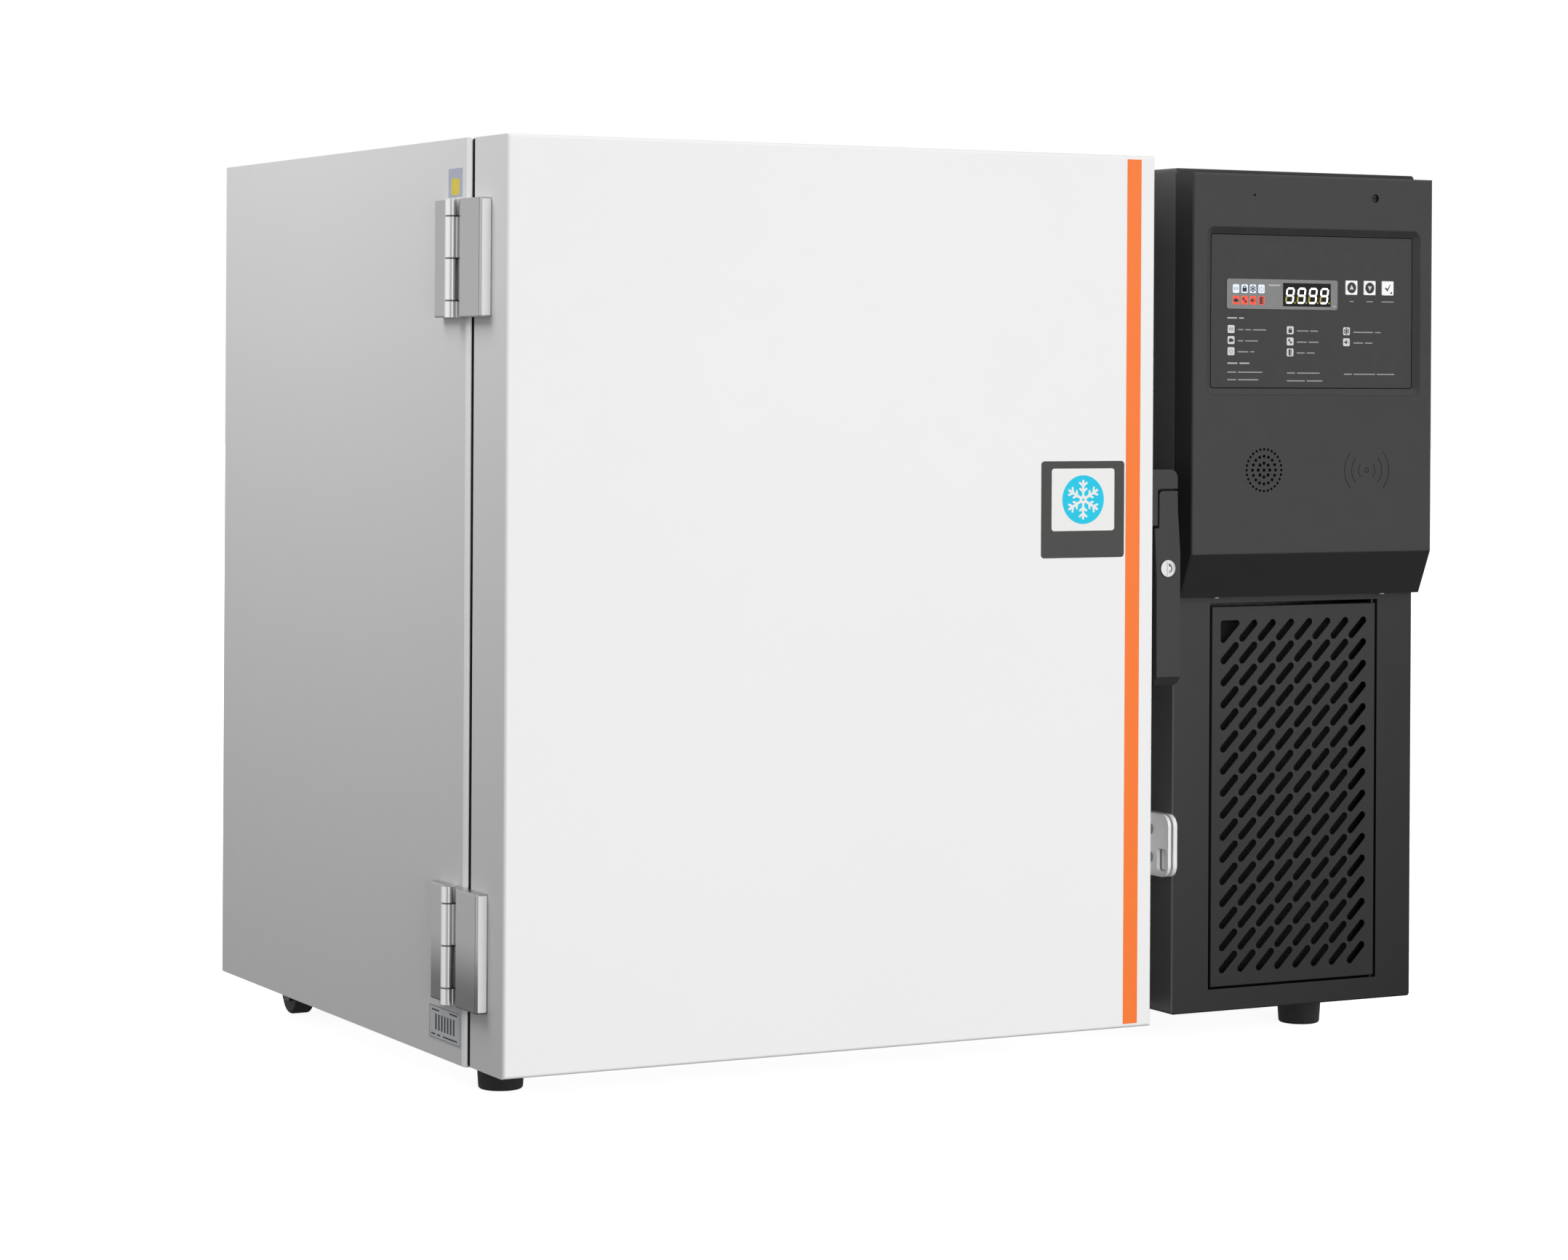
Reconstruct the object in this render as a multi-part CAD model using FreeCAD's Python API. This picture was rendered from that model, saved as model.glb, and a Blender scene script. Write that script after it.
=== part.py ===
import FreeCAD, Part
import os, math

V = FreeCAD.Vector
os.makedirs("parts", exist_ok=True)

# ------------------------------------------------------------------ driving dimensions (mm)
# Layout axes while drawing: X from the cabinet's left face to the right, Y from the door's
# front face to the rear, Z up from the floor.  Every node is moved at export so that the
# origin is the centre of the footprint on the floor.
W_ALL, D_ALL, H_ALL = 965.2, 675.6, 812.8
HINGE_OUT = 15.0                       # hinge barrel proud of the left face
XC = (W_ALL - HINGE_OUT) / 2.0         # footprint centre in X
YC = D_ALL / 2.0                       # footprint centre in Y
SHEET = 1.5                            # sheet metal

CAB_X1 = 628.0                         # cold cabinet, right face
CAB_Y0 = 76.0                          # cold cabinet, front plane
CAB_Z0 = 36.0                          # cold cabinet, underside
DOOR_T = 70.5                          # door thickness
DOOR_Z0, DOOR_Z1 = 38.0, 812.0
LIN_X0, LIN_X1 = 85.0, 543.0           # cold chamber
LIN_Y1 = 560.0
LIN_Z0, LIN_Z1 = 146.0, 700.0

MAC_X0 = 697.0                         # machine compartment, left face
MAC_Y0 = 72.5                          # its front plane
MAC_Z0, MAC_Z1 = 32.0, 807.0
HOU_Y0 = 43.0                          # control housing, front plane
HOU_Z0, HOU_Z1, HOU_ZS, HOU_YS = 414.0, 802.0, 454.0, 61.0
BEZ = (712.0, 951.0, 599.5, 753.5)     # bezel opening x0, x1, z0, z1
PAN = (718.2, 944.7, 605.5, 747.3)     # flat of the sunk panel
PAN_Y = 46.7
GRI = (739.9, 923.2, 54.3, 404.5)      # intake grille
GRO = (737.0, 925.2, 52.5, 408.0)      # its opening

HX, HY, HR = -9.0, 95.0, 6.0           # door hinge axis and barrel radius
HINGES = ((662.3, 761.2), (87.3, 186.2))
LEAF_Y1, PAD_Y0 = 134.0, 32.5          # rear edge of the cabinet half, front edge of the door half
LEV_Y, LEV_Z = 41.0, 499.0             # latch lever pivot (axis along X)
LOCK_X, LOCK_Z, LOCK_R = 665.0, 447.9, 7.8
IDX, IDY = 97.0, 90.0                  # inner door pivot
GHX, GHY = 921.2, 75.8                 # intake grille pivot
FEET = ((70.0, 164.0), (897.0, 156.0))
WHEELS = ((56.0, 616.0), (909.0, 616.0))
WHEEL_R = 20.0
FAN = (831.0, 230.0)                   # fan centre x, z
KEYS = (874.6, 895.2, 915.8)
KEY_Z = 699.6


# ------------------------------------------------------------------ helpers
def box(x0, x1, y0, y1, z0, z1):
    return Part.makeBox(x1 - x0, y1 - y0, z1 - z0, V(x0, y0, z0))


def cyl(axis, x, y, z, r, h):
    d = {"x": V(1, 0, 0), "y": V(0, 1, 0), "z": V(0, 0, 1)}[axis]
    return Part.makeCylinder(r, h, V(x, y, z), d)


def fuse(items):
    items = list(items)
    out = items[0]
    if len(items) > 1:
        out = out.multiFuse(items[1:])
    return out.removeSplitter()


def cut(a, items):
    items = list(items)
    return a.cut(items) if items else a


def edges_where(shape, test):
    picked = []
    for e in shape.Edges:
        if len(e.Vertexes) < 2:
            continue
        a, b = e.Vertexes[0].Point, e.Vertexes[1].Point
        if test(a, b):
            picked.append(e)
    return picked


def near(v, w, tol=0.01):
    return abs(v - w) < tol


def rrect_wire(x0, x1, z0, z1, r, y):
    """rounded rectangle in the plane Y = y"""
    k = math.sqrt(0.5)
    p = [V(x0 + r, y, z0), V(x1 - r, y, z0), V(x1, y, z0 + r), V(x1, y, z1 - r),
         V(x1 - r, y, z1), V(x0 + r, y, z1), V(x0, y, z1 - r), V(x0, y, z0 + r)]
    m = [V(x1 - r + r * k, y, z0 + r - r * k), V(x1 - r + r * k, y, z1 - r + r * k),
         V(x0 + r - r * k, y, z1 - r + r * k), V(x0 + r - r * k, y, z0 + r - r * k)]
    e = [Part.makeLine(p[0], p[1]), Part.Arc(p[1], m[0], p[2]).toShape(),
         Part.makeLine(p[2], p[3]), Part.Arc(p[3], m[1], p[4]).toShape(),
         Part.makeLine(p[4], p[5]), Part.Arc(p[5], m[2], p[6]).toShape(),
         Part.makeLine(p[6], p[7]), Part.Arc(p[7], m[3], p[0]).toShape()]
    return Part.Wire(e)


def rplate(x0, x1, y0, y1, z0, z1, r):
    """plate with rounded corners, thin along Y"""
    f = Part.Face(rrect_wire(x0, x1, z0, z1, r, y0))
    return f.extrude(V(0, y1 - y0, 0))


def prism_x(yz, x0, x1):
    pts = [V(x0, y, z) for y, z in yz]
    f = Part.Face(Part.makePolygon(pts + [pts[0]]))
    return f.extrude(V(x1 - x0, 0, 0))


def prism_y(xz, y0, y1):
    pts = [V(x, y0, z) for x, z in xz]
    f = Part.Face(Part.makePolygon(pts + [pts[0]]))
    return f.extrude(V(0, y1 - y0, 0))


def prism_z(xy, z0, z1):
    pts = [V(x, y, z0) for x, y in xy]
    f = Part.Face(Part.makePolygon(pts + [pts[0]]))
    return f.extrude(V(0, 0, z1 - z0))


def pipe(points, r, bend):
    """round bar along straight runs joined by tangent arcs"""
    pts = [V(*p) for p in points]
    edges, cur = [], pts[0]
    for i in range(1, len(pts) - 1):
        a, b, c = pts[i - 1], pts[i], pts[i + 1]
        u, w = (b - a).normalize(), (c - b).normalize()
        ang = u.getAngle(w)
        if ang < 1e-4:
            continue
        t = bend * math.tan(ang / 2)
        p0, p1 = b - u * t, b + w * t
        n = (w - u).normalize()
        centre = b + n * (bend / math.cos(ang / 2))
        mid = centre - n * bend
        if (p0 - cur).Length > 1e-4:
            edges.append(Part.makeLine(cur, p0))
        edges.append(Part.Arc(p0, mid, p1).toShape())
        cur = p1
    edges.append(Part.makeLine(cur, pts[-1]))
    path = Part.Wire(edges)
    d0 = (pts[1] - pts[0]).normalize()
    prof = Part.Wire([Part.makeCircle(r, pts[0], d0)])
    return path.makePipeShell([prof], True, False)


def stadium(cx, cz, length, width, deg, y0, y1):
    """slot cutter along Y, its long axis turned by deg from +X"""
    h, r = (length - width) / 2.0, width / 2.0
    a = Part.makeLine(V(-h, 0, r), V(h, 0, r))
    b = Part.Arc(V(h, 0, r), V(h + r, 0, 0), V(h, 0, -r)).toShape()
    c = Part.makeLine(V(h, 0, -r), V(-h, 0, -r))
    d = Part.Arc(V(-h, 0, -r), V(-h - r, 0, 0), V(-h, 0, r)).toShape()
    f = Part.Face(Part.Wire([a, b, c, d]))
    f.rotate(V(0, 0, 0), V(0, 1, 0), -deg)
    f.translate(V(cx, y0, cz))
    return f.extrude(V(0, y1 - y0, 0))


PARTS = {}


def node(name, shape):
    if isinstance(shape, (list, tuple)):
        shape = Part.makeCompound(list(shape))
    PARTS[name] = shape


# ------------------------------------------------------------------ cold cabinet
outer = box(0, CAB_X1, CAB_Y0, D_ALL, CAB_Z0, H_ALL)
outer = outer.makeFillet(3.5, edges_where(outer, lambda a, b: near(a.y, CAB_Y0) and near(b.y, CAB_Y0)))
inner = box(SHEET, CAB_X1 - SHEET, CAB_Y0 + SHEET, D_ALL + 5, CAB_Z0 + SHEET, H_ALL - SHEET)
inner = inner.makeFillet(2.0, edges_where(inner, lambda a, b: near(a.y, CAB_Y0 + SHEET) and near(b.y, CAB_Y0 + SHEET)))
shell = outer.cut(inner)
shell = cut(shell, [
    box(20, 608, CAB_Y0 - 1, CAB_Y0 + 4, 56, 793),
    cyl("z", FEET[0][0], FEET[0][1], CAB_Z0 - 1, 6.0, 5),
    box(39, 73, 588, 644, CAB_Z0 - 1, CAB_Z0 + 3),
    cyl("x", CAB_X1 - 5, 420, 600, 22, 10)])
node("cabinet_shell", shell)

rear = box(SHEET, CAB_X1 - SHEET, D_ALL - SHEET, D_ALL, CAB_Z0 + SHEET, H_ALL - SHEET)
node("cabinet_rear_panel", rear)

breaker = box(20, 608, CAB_Y0, CAB_Y0 + 4, 56, 793)
breaker = breaker.cut(box(LIN_X0, LIN_X1, CAB_Y0 - 1, CAB_Y0 + 5, LIN_Z0, LIN_Z1))
node("breaker_frame", breaker)

LT = 1.5
lo = box(LIN_X0 - LT, LIN_X1 + LT, CAB_Y0 + 4, LIN_Y1 + LT, LIN_Z0 - LT, LIN_Z1 + LT)
lo = lo.makeFillet(7.5, edges_where(lo, lambda a, b: near(a.x, b.x) and near(a.z, b.z) or (near(a.y, LIN_Y1 + LT) and near(b.y, LIN_Y1 + LT))))
li = box(LIN_X0, LIN_X1, CAB_Y0, LIN_Y1, LIN_Z0, LIN_Z1)
li = li.makeFillet(6.0, edges_where(li, lambda a, b: near(a.x, b.x) and near(a.z, b.z) or (near(a.y, LIN_Y1) and near(b.y, LIN_Y1))))
liner = lo.cut(li)
node("chamber_liner", liner)

# evaporator: one copper tube wound in U passes round the outside of the chamber
ex0, ex1, ey0, ey1 = LIN_X0 - 7, LIN_X1 + 7, 112.0, LIN_Y1 + 8
zs = [190.0, 275.0, 360.0, 445.0, 530.0, 650.0]
pts = []
for i, z in enumerate(zs):
    row = [(ex0, ey0, z), (ex0, ey1, z), (ex1, ey1, z), (ex1, ey0, z)]
    if i % 2:
        row.reverse()
    pts += row
coil = pipe(pts, 4.0, 16.0)
node("evaporator_coil", coil)

foam = box(SHEET, CAB_X1 - SHEET, CAB_Y0 + SHEET + 2.5, D_ALL - SHEET, CAB_Z0 + SHEET, H_ALL - SHEET)
foam = foam.cut([lo, coil,
                 cyl("z", FEET[0][0], FEET[0][1], CAB_Z0, 6.0, 14),
                 box(39, 73, 588, 644, CAB_Z0, CAB_Z0 + 9),
                 cyl("x", 560, 420, 600, 10, 80)])
node("cabinet_foam", foam)

# slotted uprights with clips that carry the shelves
ups = []
for x in (LIN_X0, LIN_X1 - 3):
    for y in (170.0, 480.0):
        u = box(x, x + 3, y, y + 16, LIN_Z0 + 14, LIN_Z1 - 14)
        u = cut(u, [box(x - 1, x + 4, y + 5, y + 11, z, z + 6) for z in [185 + 25 * k for k in range(20)]])
        ups.append(u)
SHELVES = (284.0, 420.0, 558.0)
clips = []
for z in SHELVES:
    for x, s in ((LIN_X0 + 3, 1), (LIN_X1 - 3, -1)):
        for y in (170.0, 480.0):
            x0, x1 = sorted((x, x + s * 11))
            clips.append(fuse([box(x0, x1, y + 2, y + 14, z - 3.2, z - 1.2),
                               box(min(x, x + s * 1.5), max(x, x + s * 1.5), y + 2, y + 14, z - 12, z - 1.2)]))
node("shelf_supports", ups + clips)
shelves = []
for z in SHELVES:
    s = box(LIN_X0 + 5, LIN_X1 - 5, 118, 552, z - 1.2, z)
    s = fuse([s, box(LIN_X0 + 5, LIN_X1 - 5, 118, 119.2, z - 14, z), box(LIN_X0 + 5, LIN_X1 - 5, 550.8, 552, z - 14, z)])
    s = cut(s, [cyl("z", LIN_X0 + 40 + 42 * i, 160 + 44 * j, z - 5, 6, 10) for i in range(10) for j in range(9)
                if 1 <= i <= 8])
    shelves.append(s)
node("shelves", shelves)

# ------------------------------------------------------------------ inner doors
ID_X0, ID_X1, ID_Y0, ID_Y1 = 91.0, 537.0, 86.0, 110.0


def inner_door(z0, z1):
    d = box(ID_X0, ID_X1, ID_Y0, ID_Y1, z0, z1)
    d = d.makeFillet(3.0, edges_where(d, lambda a, b: near(a.y, ID_Y0) and near(b.y, ID_Y0)))
    d = cut(d, [cyl("z", IDX, IDY + 6, z0 - 1, 3.05, 13), cyl("z", IDX, IDY + 6, z1 - 12, 3.05, 13),
                cyl("y", 512, ID_Y0 - 1, (z0 + z1) / 2, 11.0, 9)])
    return d


def inner_pull(z):
    return fuse([cyl("y", 512, ID_Y0 - 4.0, z, 10.5, 9.0), box(509.5, 514.5, ID_Y0 - 6.5, ID_Y0 - 3, z - 10, z + 10)])


IZ = ((150.0, 420.5), (425.5, 696.0))
node("inner_door_lower", [inner_door(*IZ[0]), inner_pull(sum(IZ[0]) / 2)])
node("inner_door_upper", [inner_door(*IZ[1]), inner_pull(sum(IZ[1]) / 2)])
brk = []
for z0, z1 in ((146.6, 149.4), (421.4, 424.6), (696.6, 699.4)):
    b = [box(LIN_X0, IDX + 7, IDY - 1, IDY + 13, z0, z1)]
    if z0 > 200:
        b.append(cyl("z", IDX, IDY + 6, z0 - 10, 3.0, 11))
    if z0 < 600:
        b.append(cyl("z", IDX, IDY + 6, z1 - 1, 3.0, 11))
    brk.append(fuse(b).common(li))
node("inner_door_brackets", brk)

# ------------------------------------------------------------------ main door
do = box(0, CAB_X1, 0, DOOR_T, DOOR_Z0, DOOR_Z1)
do = do.makeFillet(2.6, edges_where(do, lambda a, b: near(a.y, 0) and near(b.y, 0)))
do = do.makeFillet(3.5, edges_where(do, lambda a, b: near(a.y, DOOR_T) and near(b.y, DOOR_T)))
di = box(SHEET, CAB_X1 - SHEET, SHEET, DOOR_T - 3, DOOR_Z0 + SHEET, DOOR_Z1 - SHEET)
skin = do.cut([di, box(14, CAB_X1 - 14, 60, 80, DOOR_Z0 + 14, DOOR_Z1 - 14)])
node("door_skin", skin)
dfoam = box(SHEET, CAB_X1 - SHEET, SHEET, DOOR_T - 6, DOOR_Z0 + SHEET, DOOR_Z1 - SHEET)
node("door_foam", dfoam)
dpan = box(14, CAB_X1 - 14, DOOR_T - 3, DOOR_T, DOOR_Z0 + 14, DOOR_Z1 - 14)
dpan = fuse([dpan, box(SHEET, CAB_X1 - SHEET, DOOR_T - 6, DOOR_T - 3, DOOR_Z0 + SHEET, DOOR_Z1 - SHEET)])
groove = box(40, CAB_X1 - 40, DOOR_T - 2, DOOR_T + 1, DOOR_Z0 + 40, DOOR_Z1 - 40).cut(
    box(48, CAB_X1 - 48, DOOR_T - 3, DOOR_T + 2, DOOR_Z0 + 48, DOOR_Z1 - 48))
node("door_inner_panel", dpan.cut(groove))
gk = box(12, CAB_X1 - 12, DOOR_T, CAB_Y0 - 0.3, DOOR_Z0 + 12, DOOR_Z1 - 12)
gk = gk.makeFillet(3.0, [e for e in gk.Edges if abs(e.Vertexes[0].Y - e.Vertexes[1].Y) > 1])
gk = gk.cut(box(30, CAB_X1 - 30, DOOR_T - 1, CAB_Y0 + 1, DOOR_Z0 + 30, DOOR_Z1 - 30))
node("door_gasket", gk)

# ------------------------------------------------------------------ hinges
cab_leaf, door_leaf, pins, washers, screws = [], [], [], [], []
for z0, z1 in HINGES:
    h = z1 - z0
    brks = [z0, z0 + 14.0, (z0 + z1) / 2.0, z1 - 14.0, z1]          # knuckle ends, bottom to top
    segs = [(brks[i] + (0.7 if i else 0), brks[i + 1] - (0.7 if i < 3 else 0)) for i in range(4)]
    # cabinet half: plate plus knuckles 1 and 3 counted from the top
    plate = box(-8.5, 0, HY + HR + 0.6, LEAF_Y1, z0, z1)
    plate = plate.makeFillet(1.6, edges_where(plate, lambda a, b: near(a.x, -8.5) and near(b.x, -8.5)))
    items = [plate]
    for a, b in (segs[3], segs[1]):
        items += [cyl("z", HX, HY, a, HR, b - a), box(HX + 0.5, 0, HY, HY + HR + 2.5, a, b)]
    leaf = fuse(items)
    cab_leaf.append(leaf.cut(cyl("z", HX, HY, z0 - 1, 3.0, h + 2)))
    # door half: thick rounded pad plus knuckles 2 and 4
    pad = box(-10.0, 0, PAD_Y0, 76.5, z0, z1)
    pad = pad.makeFillet(1.5, [e for e in edges_where(pad, lambda a, b: near(a.x, -10) and near(b.x, -10))
                               if abs(e.Vertexes[0].Y - PAD_Y0) < 0.01 and abs(e.Vertexes[1].Y - PAD_Y0) < 0.01])
    pad = pad.makeFillet(1.2, [e for e in pad.Edges if len(e.Vertexes) == 2
                               and near(e.Vertexes[0].X, -10) and near(e.Vertexes[1].X, -10)])
    pad = pad.cut([box(-1.0, 1, DOOR_T - 3.5, 95, z0 - 1, z1 + 1), box(-11.0, -9.2, PAD_Y0 + 2.2, PAD_Y0 + 2.9, z0 - 1, z1 + 1)])
    items = [pad, box(-6.5, -1.0, 70.0, HY - HR - 2.6, z0, z1)]
    for a, b in (segs[2], segs[0]):
        items += [cyl("z", HX, HY, a, HR, b - a), box(-6.5, -3.2, HY - HR - 4, HY, a, b)]
    leaf = fuse(items)
    door_leaf.append(leaf.cut(cyl("z", HX, HY, z0 - 1, 3.06, h + 2)))
    pins.append(cyl("z", HX, HY, z0 + 1.0, 3.0, h - 2))
    for k in range(3):
        zm = brks[k + 1]
        washers.append(cyl("z", HX, HY, zm - 0.5, 5.2, 1.0).cut(cyl("z", HX, HY, zm - 2, 3.0, 4)))
node("hinge_cabinet_leaves", cab_leaf)
node("hinge_door_leaves", door_leaf)
node("hinge_pins", pins + washers)

# ------------------------------------------------------------------ latch on the door's right side
base = fuse([
    box(CAB_X1, 654.2, 33.5, 70.0, 486.8, 537.4),
    box(CAB_X1, 676.0, 33.5, 70.0, 520.0, 537.4),
    box(632.0, 676.0, 62.6, 98.0, 510.0, 537.4)])
base = base.makeFillet(8.0, edges_where(base, lambda a, b: near(a.x, 676) and near(b.x, 676) and near(a.z, 537.4) and near(b.z, 537.4)))
base = base.makeFillet(1.2, [e for e in base.Edges if len(e.Vertexes) == 2 and near(e.Vertexes[0].Y, 33.5)
                             and near(e.Vertexes[1].Y, 33.5) and min(e.Vertexes[0].Z, e.Vertexes[1].Z) > 520.5
                             and max(e.Vertexes[0].X, e.Vertexes[1].X) > 660])
base = base.cut(cyl("x", 640, LEV_Y, LEV_Z, 3.5, 60))


def lowered(shape):
    """the whole latch is drawn 5 mm above its place and lowered here"""
    shape = shape.copy()
    shape.translate(V(0, 0, -5.0))
    return shape


node("latch_base", lowered(base))
node("latch_pivot_pin", lowered(cyl("x", 640, LEV_Y, LEV_Z, 3.5, 34.5)))

lev = prism_y([(655.5, 518.0), (675.6, 518.0), (675.9, 500.0), (678.7, 462.0), (679.0, 342.0), (653.4, 342.0),
               (652.8, 440.0), (650.8, 484.4), (655.5, 484.4)], 33.0, 48.0)
lev = lev.makeFillet(4.0, [e for e in lev.Edges if near(e.Vertexes[0].X, e.Vertexes[1].X) and near(e.Vertexes[0].Z, e.Vertexes[1].Z)
                           and (e.Vertexes[0].Z < 343 or (e.Vertexes[0].Z > 517 and e.Vertexes[0].X < 670))])
wedge = prism_x([(32.0, 350.0), (33.0, 350.0), (41.0, 341.0), (32.0, 341.0)], 640, 700)
lev = lev.cut(wedge)
lev = lev.makeFillet(1.0, [e for e in lev.Edges if len(e.Vertexes) == 2 and near(e.Vertexes[0].Y, 33.0)
                           and near(e.Vertexes[1].Y, 33.0)])
lev = lev.cut([box(656.0, 675.2, 40.5, 49, 354, 480)])
claw = fuse([box(661, 669, 44, 90, 490.5, 497.5), cyl("x", 661, 90, 494, 3.5, 8)])
lev = fuse([lev, claw, cyl("y", LOCK_X, 36.0, LOCK_Z, 11.0, 11.5), box(655.8, 675.4, 36, 46, 384, 387), box(655.8, 675.4, 36, 46, 416, 419)])
lev = lev.cut([cyl("x", 650, LEV_Y, LEV_Z, 3.56, 40), cyl("y", LOCK_X, 30, LOCK_Z, LOCK_R + 0.06, 30)])
lev = lev.cut(cyl("y", LOCK_X, 32.0, LOCK_Z, LOCK_R + 0.7, 1.6))
node("latch_lever", lowered(lev))
lock = cyl("y", LOCK_X, 32.2, LOCK_Z, LOCK_R, 16.5)
lock = lock.makeFillet(0.5, [e for e in lock.Edges if near(e.BoundBox.YMin, 32.2) and near(e.BoundBox.YMax, 32.2)])
# face: a shallow dish, a raised bar and a half-round pocket with a rounded shutter in it
dish = cyl("y", LOCK_X, 31.0, LOCK_Z, LOCK_R - 1.1, 1.6).cut(box(LOCK_X - 0.9, LOCK_X + 0.3, 30, 36, LOCK_Z - 9, LOCK_Z + 9))
pocket = cyl("y", LOCK_X, 31.0, LOCK_Z, LOCK_R - 3.0, 4.2).common(box(LOCK_X + 0.3, LOCK_X + 9, 30, 37, LOCK_Z - 9, LOCK_Z + 9))
pocket = pocket.cut(cyl("y", LOCK_X + 1.6, 32.9, LOCK_Z, 1.9, 4))
lock = lock.cut([dish, pocket])
node("lock_cylinder", lowered(lock))
strike = fuse([box(CAB_X1, 631.0, 88.0, 126.0, 474.0, 534.0), cyl("x", 630, 104, 501, 4.0, 42),
               cyl("x", 671.0, 104, 501, 5.5, 2.0)])
node("latch_strike", lowered(strike))

# padlock hasp: one plate swings with the door, one stays on the machine compartment


def hasp(x0, x1, y1, z0=158.7, z1=215.8):
    p = box(x0, x1, 64.0, y1, z0, z1)
    p = p.makeFillet(11.0, [e for e in p.Edges if near(e.Vertexes[0].Y, 64) and near(e.Vertexes[1].Y, 64)
                            and near(e.Vertexes[0].Z, e.Vertexes[1].Z)])
    s = box(x0 - 1, x1 + 1, 67.4, 82.5, 164.0, 184.3)
    s = s.makeFillet(3.0, [e for e in s.Edges if near(e.Vertexes[0].Y, e.Vertexes[1].Y) and near(e.Vertexes[0].Z, e.Vertexes[1].Z)])
    return p.cut(s)


arm = fuse([hasp(687.3, 690.4, 102.0), box(631.0, 690.4, 98.9, 102.0, 158.7, 215.8), box(CAB_X1, 631.1, 16.0, 70.0, 158.7, 215.8),
            box(630.0, 633.1, 60.0, 102.0, 158.7, 215.8)])
hs = [arm]
for z in (201.0, 175.6):
    hs.append(cyl("x", 685.9, 93.0, z, 4.6, 1.4))
    for y in (30.0, 54.0):
        hs.append(cyl("x", 631.1, y, z, 4.2, 2.2))
node("hasp_door_arm", hs)
node("hasp_machine_plate", hasp(693.0, MAC_X0, 104.0))

# ------------------------------------------------------------------ machine compartment
ff = box(MAC_X0, W_ALL, MAC_Y0, 120.0, MAC_Z0, MAC_Z1)
ff = ff.makeFillet(3.0, [e for e in ff.Edges if abs(e.Vertexes[0].Y - e.Vertexes[1].Y) > 1])
ff = ff.makeFillet(1.4, edges_where(ff, lambda a, b: near(a.y, MAC_Y0) and near(b.y, MAC_Y0)))
ff = ff.cut([box(MAC_X0 + SHEET, W_ALL - SHEET, MAC_Y0 + SHEET, 125, MAC_Z0 + SHEET, MAC_Z1 - SHEET)])
lip = box(GRO[0] - SHEET, GRO[1] + SHEET, MAC_Y0 + 0.5, 88, GRO[2] - SHEET, GRO[3] + SHEET)
ff = fuse([ff, lip])
ff = ff.cut([box(GRO[0], GRO[1], MAC_Y0 - 5, 95, GRO[2], GRO[3]),
             box(716, 946, MAC_Y0 - 5, 78, 440, 790),
             cyl("z", GHX, GHY, 48, 1.26, 6), cyl("z", GHX, GHY, 406, 1.26, 6),
             box(MAC_X0 - 1, MAC_X0 + 3, 67.4, 82.5, 164.0, 184.3)])
node("machine_front_frame", ff)

wrap = box(MAC_X0, W_ALL, 120.0, D_ALL, CAB_Z0, MAC_Z1)
wrap = wrap.cut(box(MAC_X0 + SHEET, W_ALL - SHEET, 119, D_ALL + 1, CAB_Z0 - 1, MAC_Z1 - SHEET))
vents = []
for i in range(12):
    for j in range(3):
        vents.append(box(W_ALL - 3, W_ALL + 1, 230 + 130 * j, 330 + 130 * j, 120 + 22 * i, 127 + 22 * i))
wrap = cut(wrap, vents + [cyl("x", MAC_X0 - 3, 420, 600, 22, 8)])
node("machine_wrap", wrap)

mrear = box(MAC_X0 + SHEET, W_ALL - SHEET, D_ALL - SHEET, D_ALL, CAB_Z0 + 2, MAC_Z1 - SHEET)
vents = [box(722 + 40 * i, 752 + 40 * i, D_ALL - 3, D_ALL + 1, 90 + 18 * j, 97 + 18 * j) for i in range(5) for j in range(18)
         if 722 + 40 * i + 30 < 940]
vents += [box(722 + 40 * i, 752 + 40 * i, D_ALL - 3, D_ALL + 1, 700 + 18 * j, 707 + 18 * j) for i in range(5) for j in range(4)]
mrear = cut(mrear, vents + [rplate(886, 934, D_ALL - 4, D_ALL + 1, 560, 590, 2), rplate(886, 914, D_ALL - 4, D_ALL + 1, 600, 622, 1.5)])
node("machine_rear_panel", mrear)

tray = box(MAC_X0 + SHEET, W_ALL - SHEET, 120, D_ALL - SHEET, CAB_Z0, CAB_Z0 + 2)
tray = cut(tray, [box(892, 926, 588, 644, CAB_Z0 - 1, CAB_Z0 + 3), cyl("z", FEET[1][0], FEET[1][1], CAB_Z0 - 1, 6, 5)])

bridge = box(CAB_X1, MAC_X0, 134, D_ALL - SHEET, CAB_Z0 + 2, 803)
bridge = bridge.cut(box(CAB_X1 - 1, MAC_X0 + 1, 134 + SHEET, D_ALL - 2 * SHEET, CAB_Z0 + 2 + SHEET, 803 - SHEET))
node("bridge_cover", bridge)

rails = [tray]
for y0, y1 in ((138.0, 188.0), (580.0, 652.0)):
    r_ = box(22, 943, y0, y1, CAB_Z0 - 3, CAB_Z0)
    if y0 < 200:
        r_ = cut(r_, [cyl("z", x, y, CAB_Z0 - 5, 5.05, 10) for x, y in FEET])
    else:
        r_ = cut(r_, [box(x - 17, x + 17, 588, 644, CAB_Z0 - 5, CAB_Z0 + 5) for x, y in WHEELS])
    rails.append(r_)
node("base_frame", rails)

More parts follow.
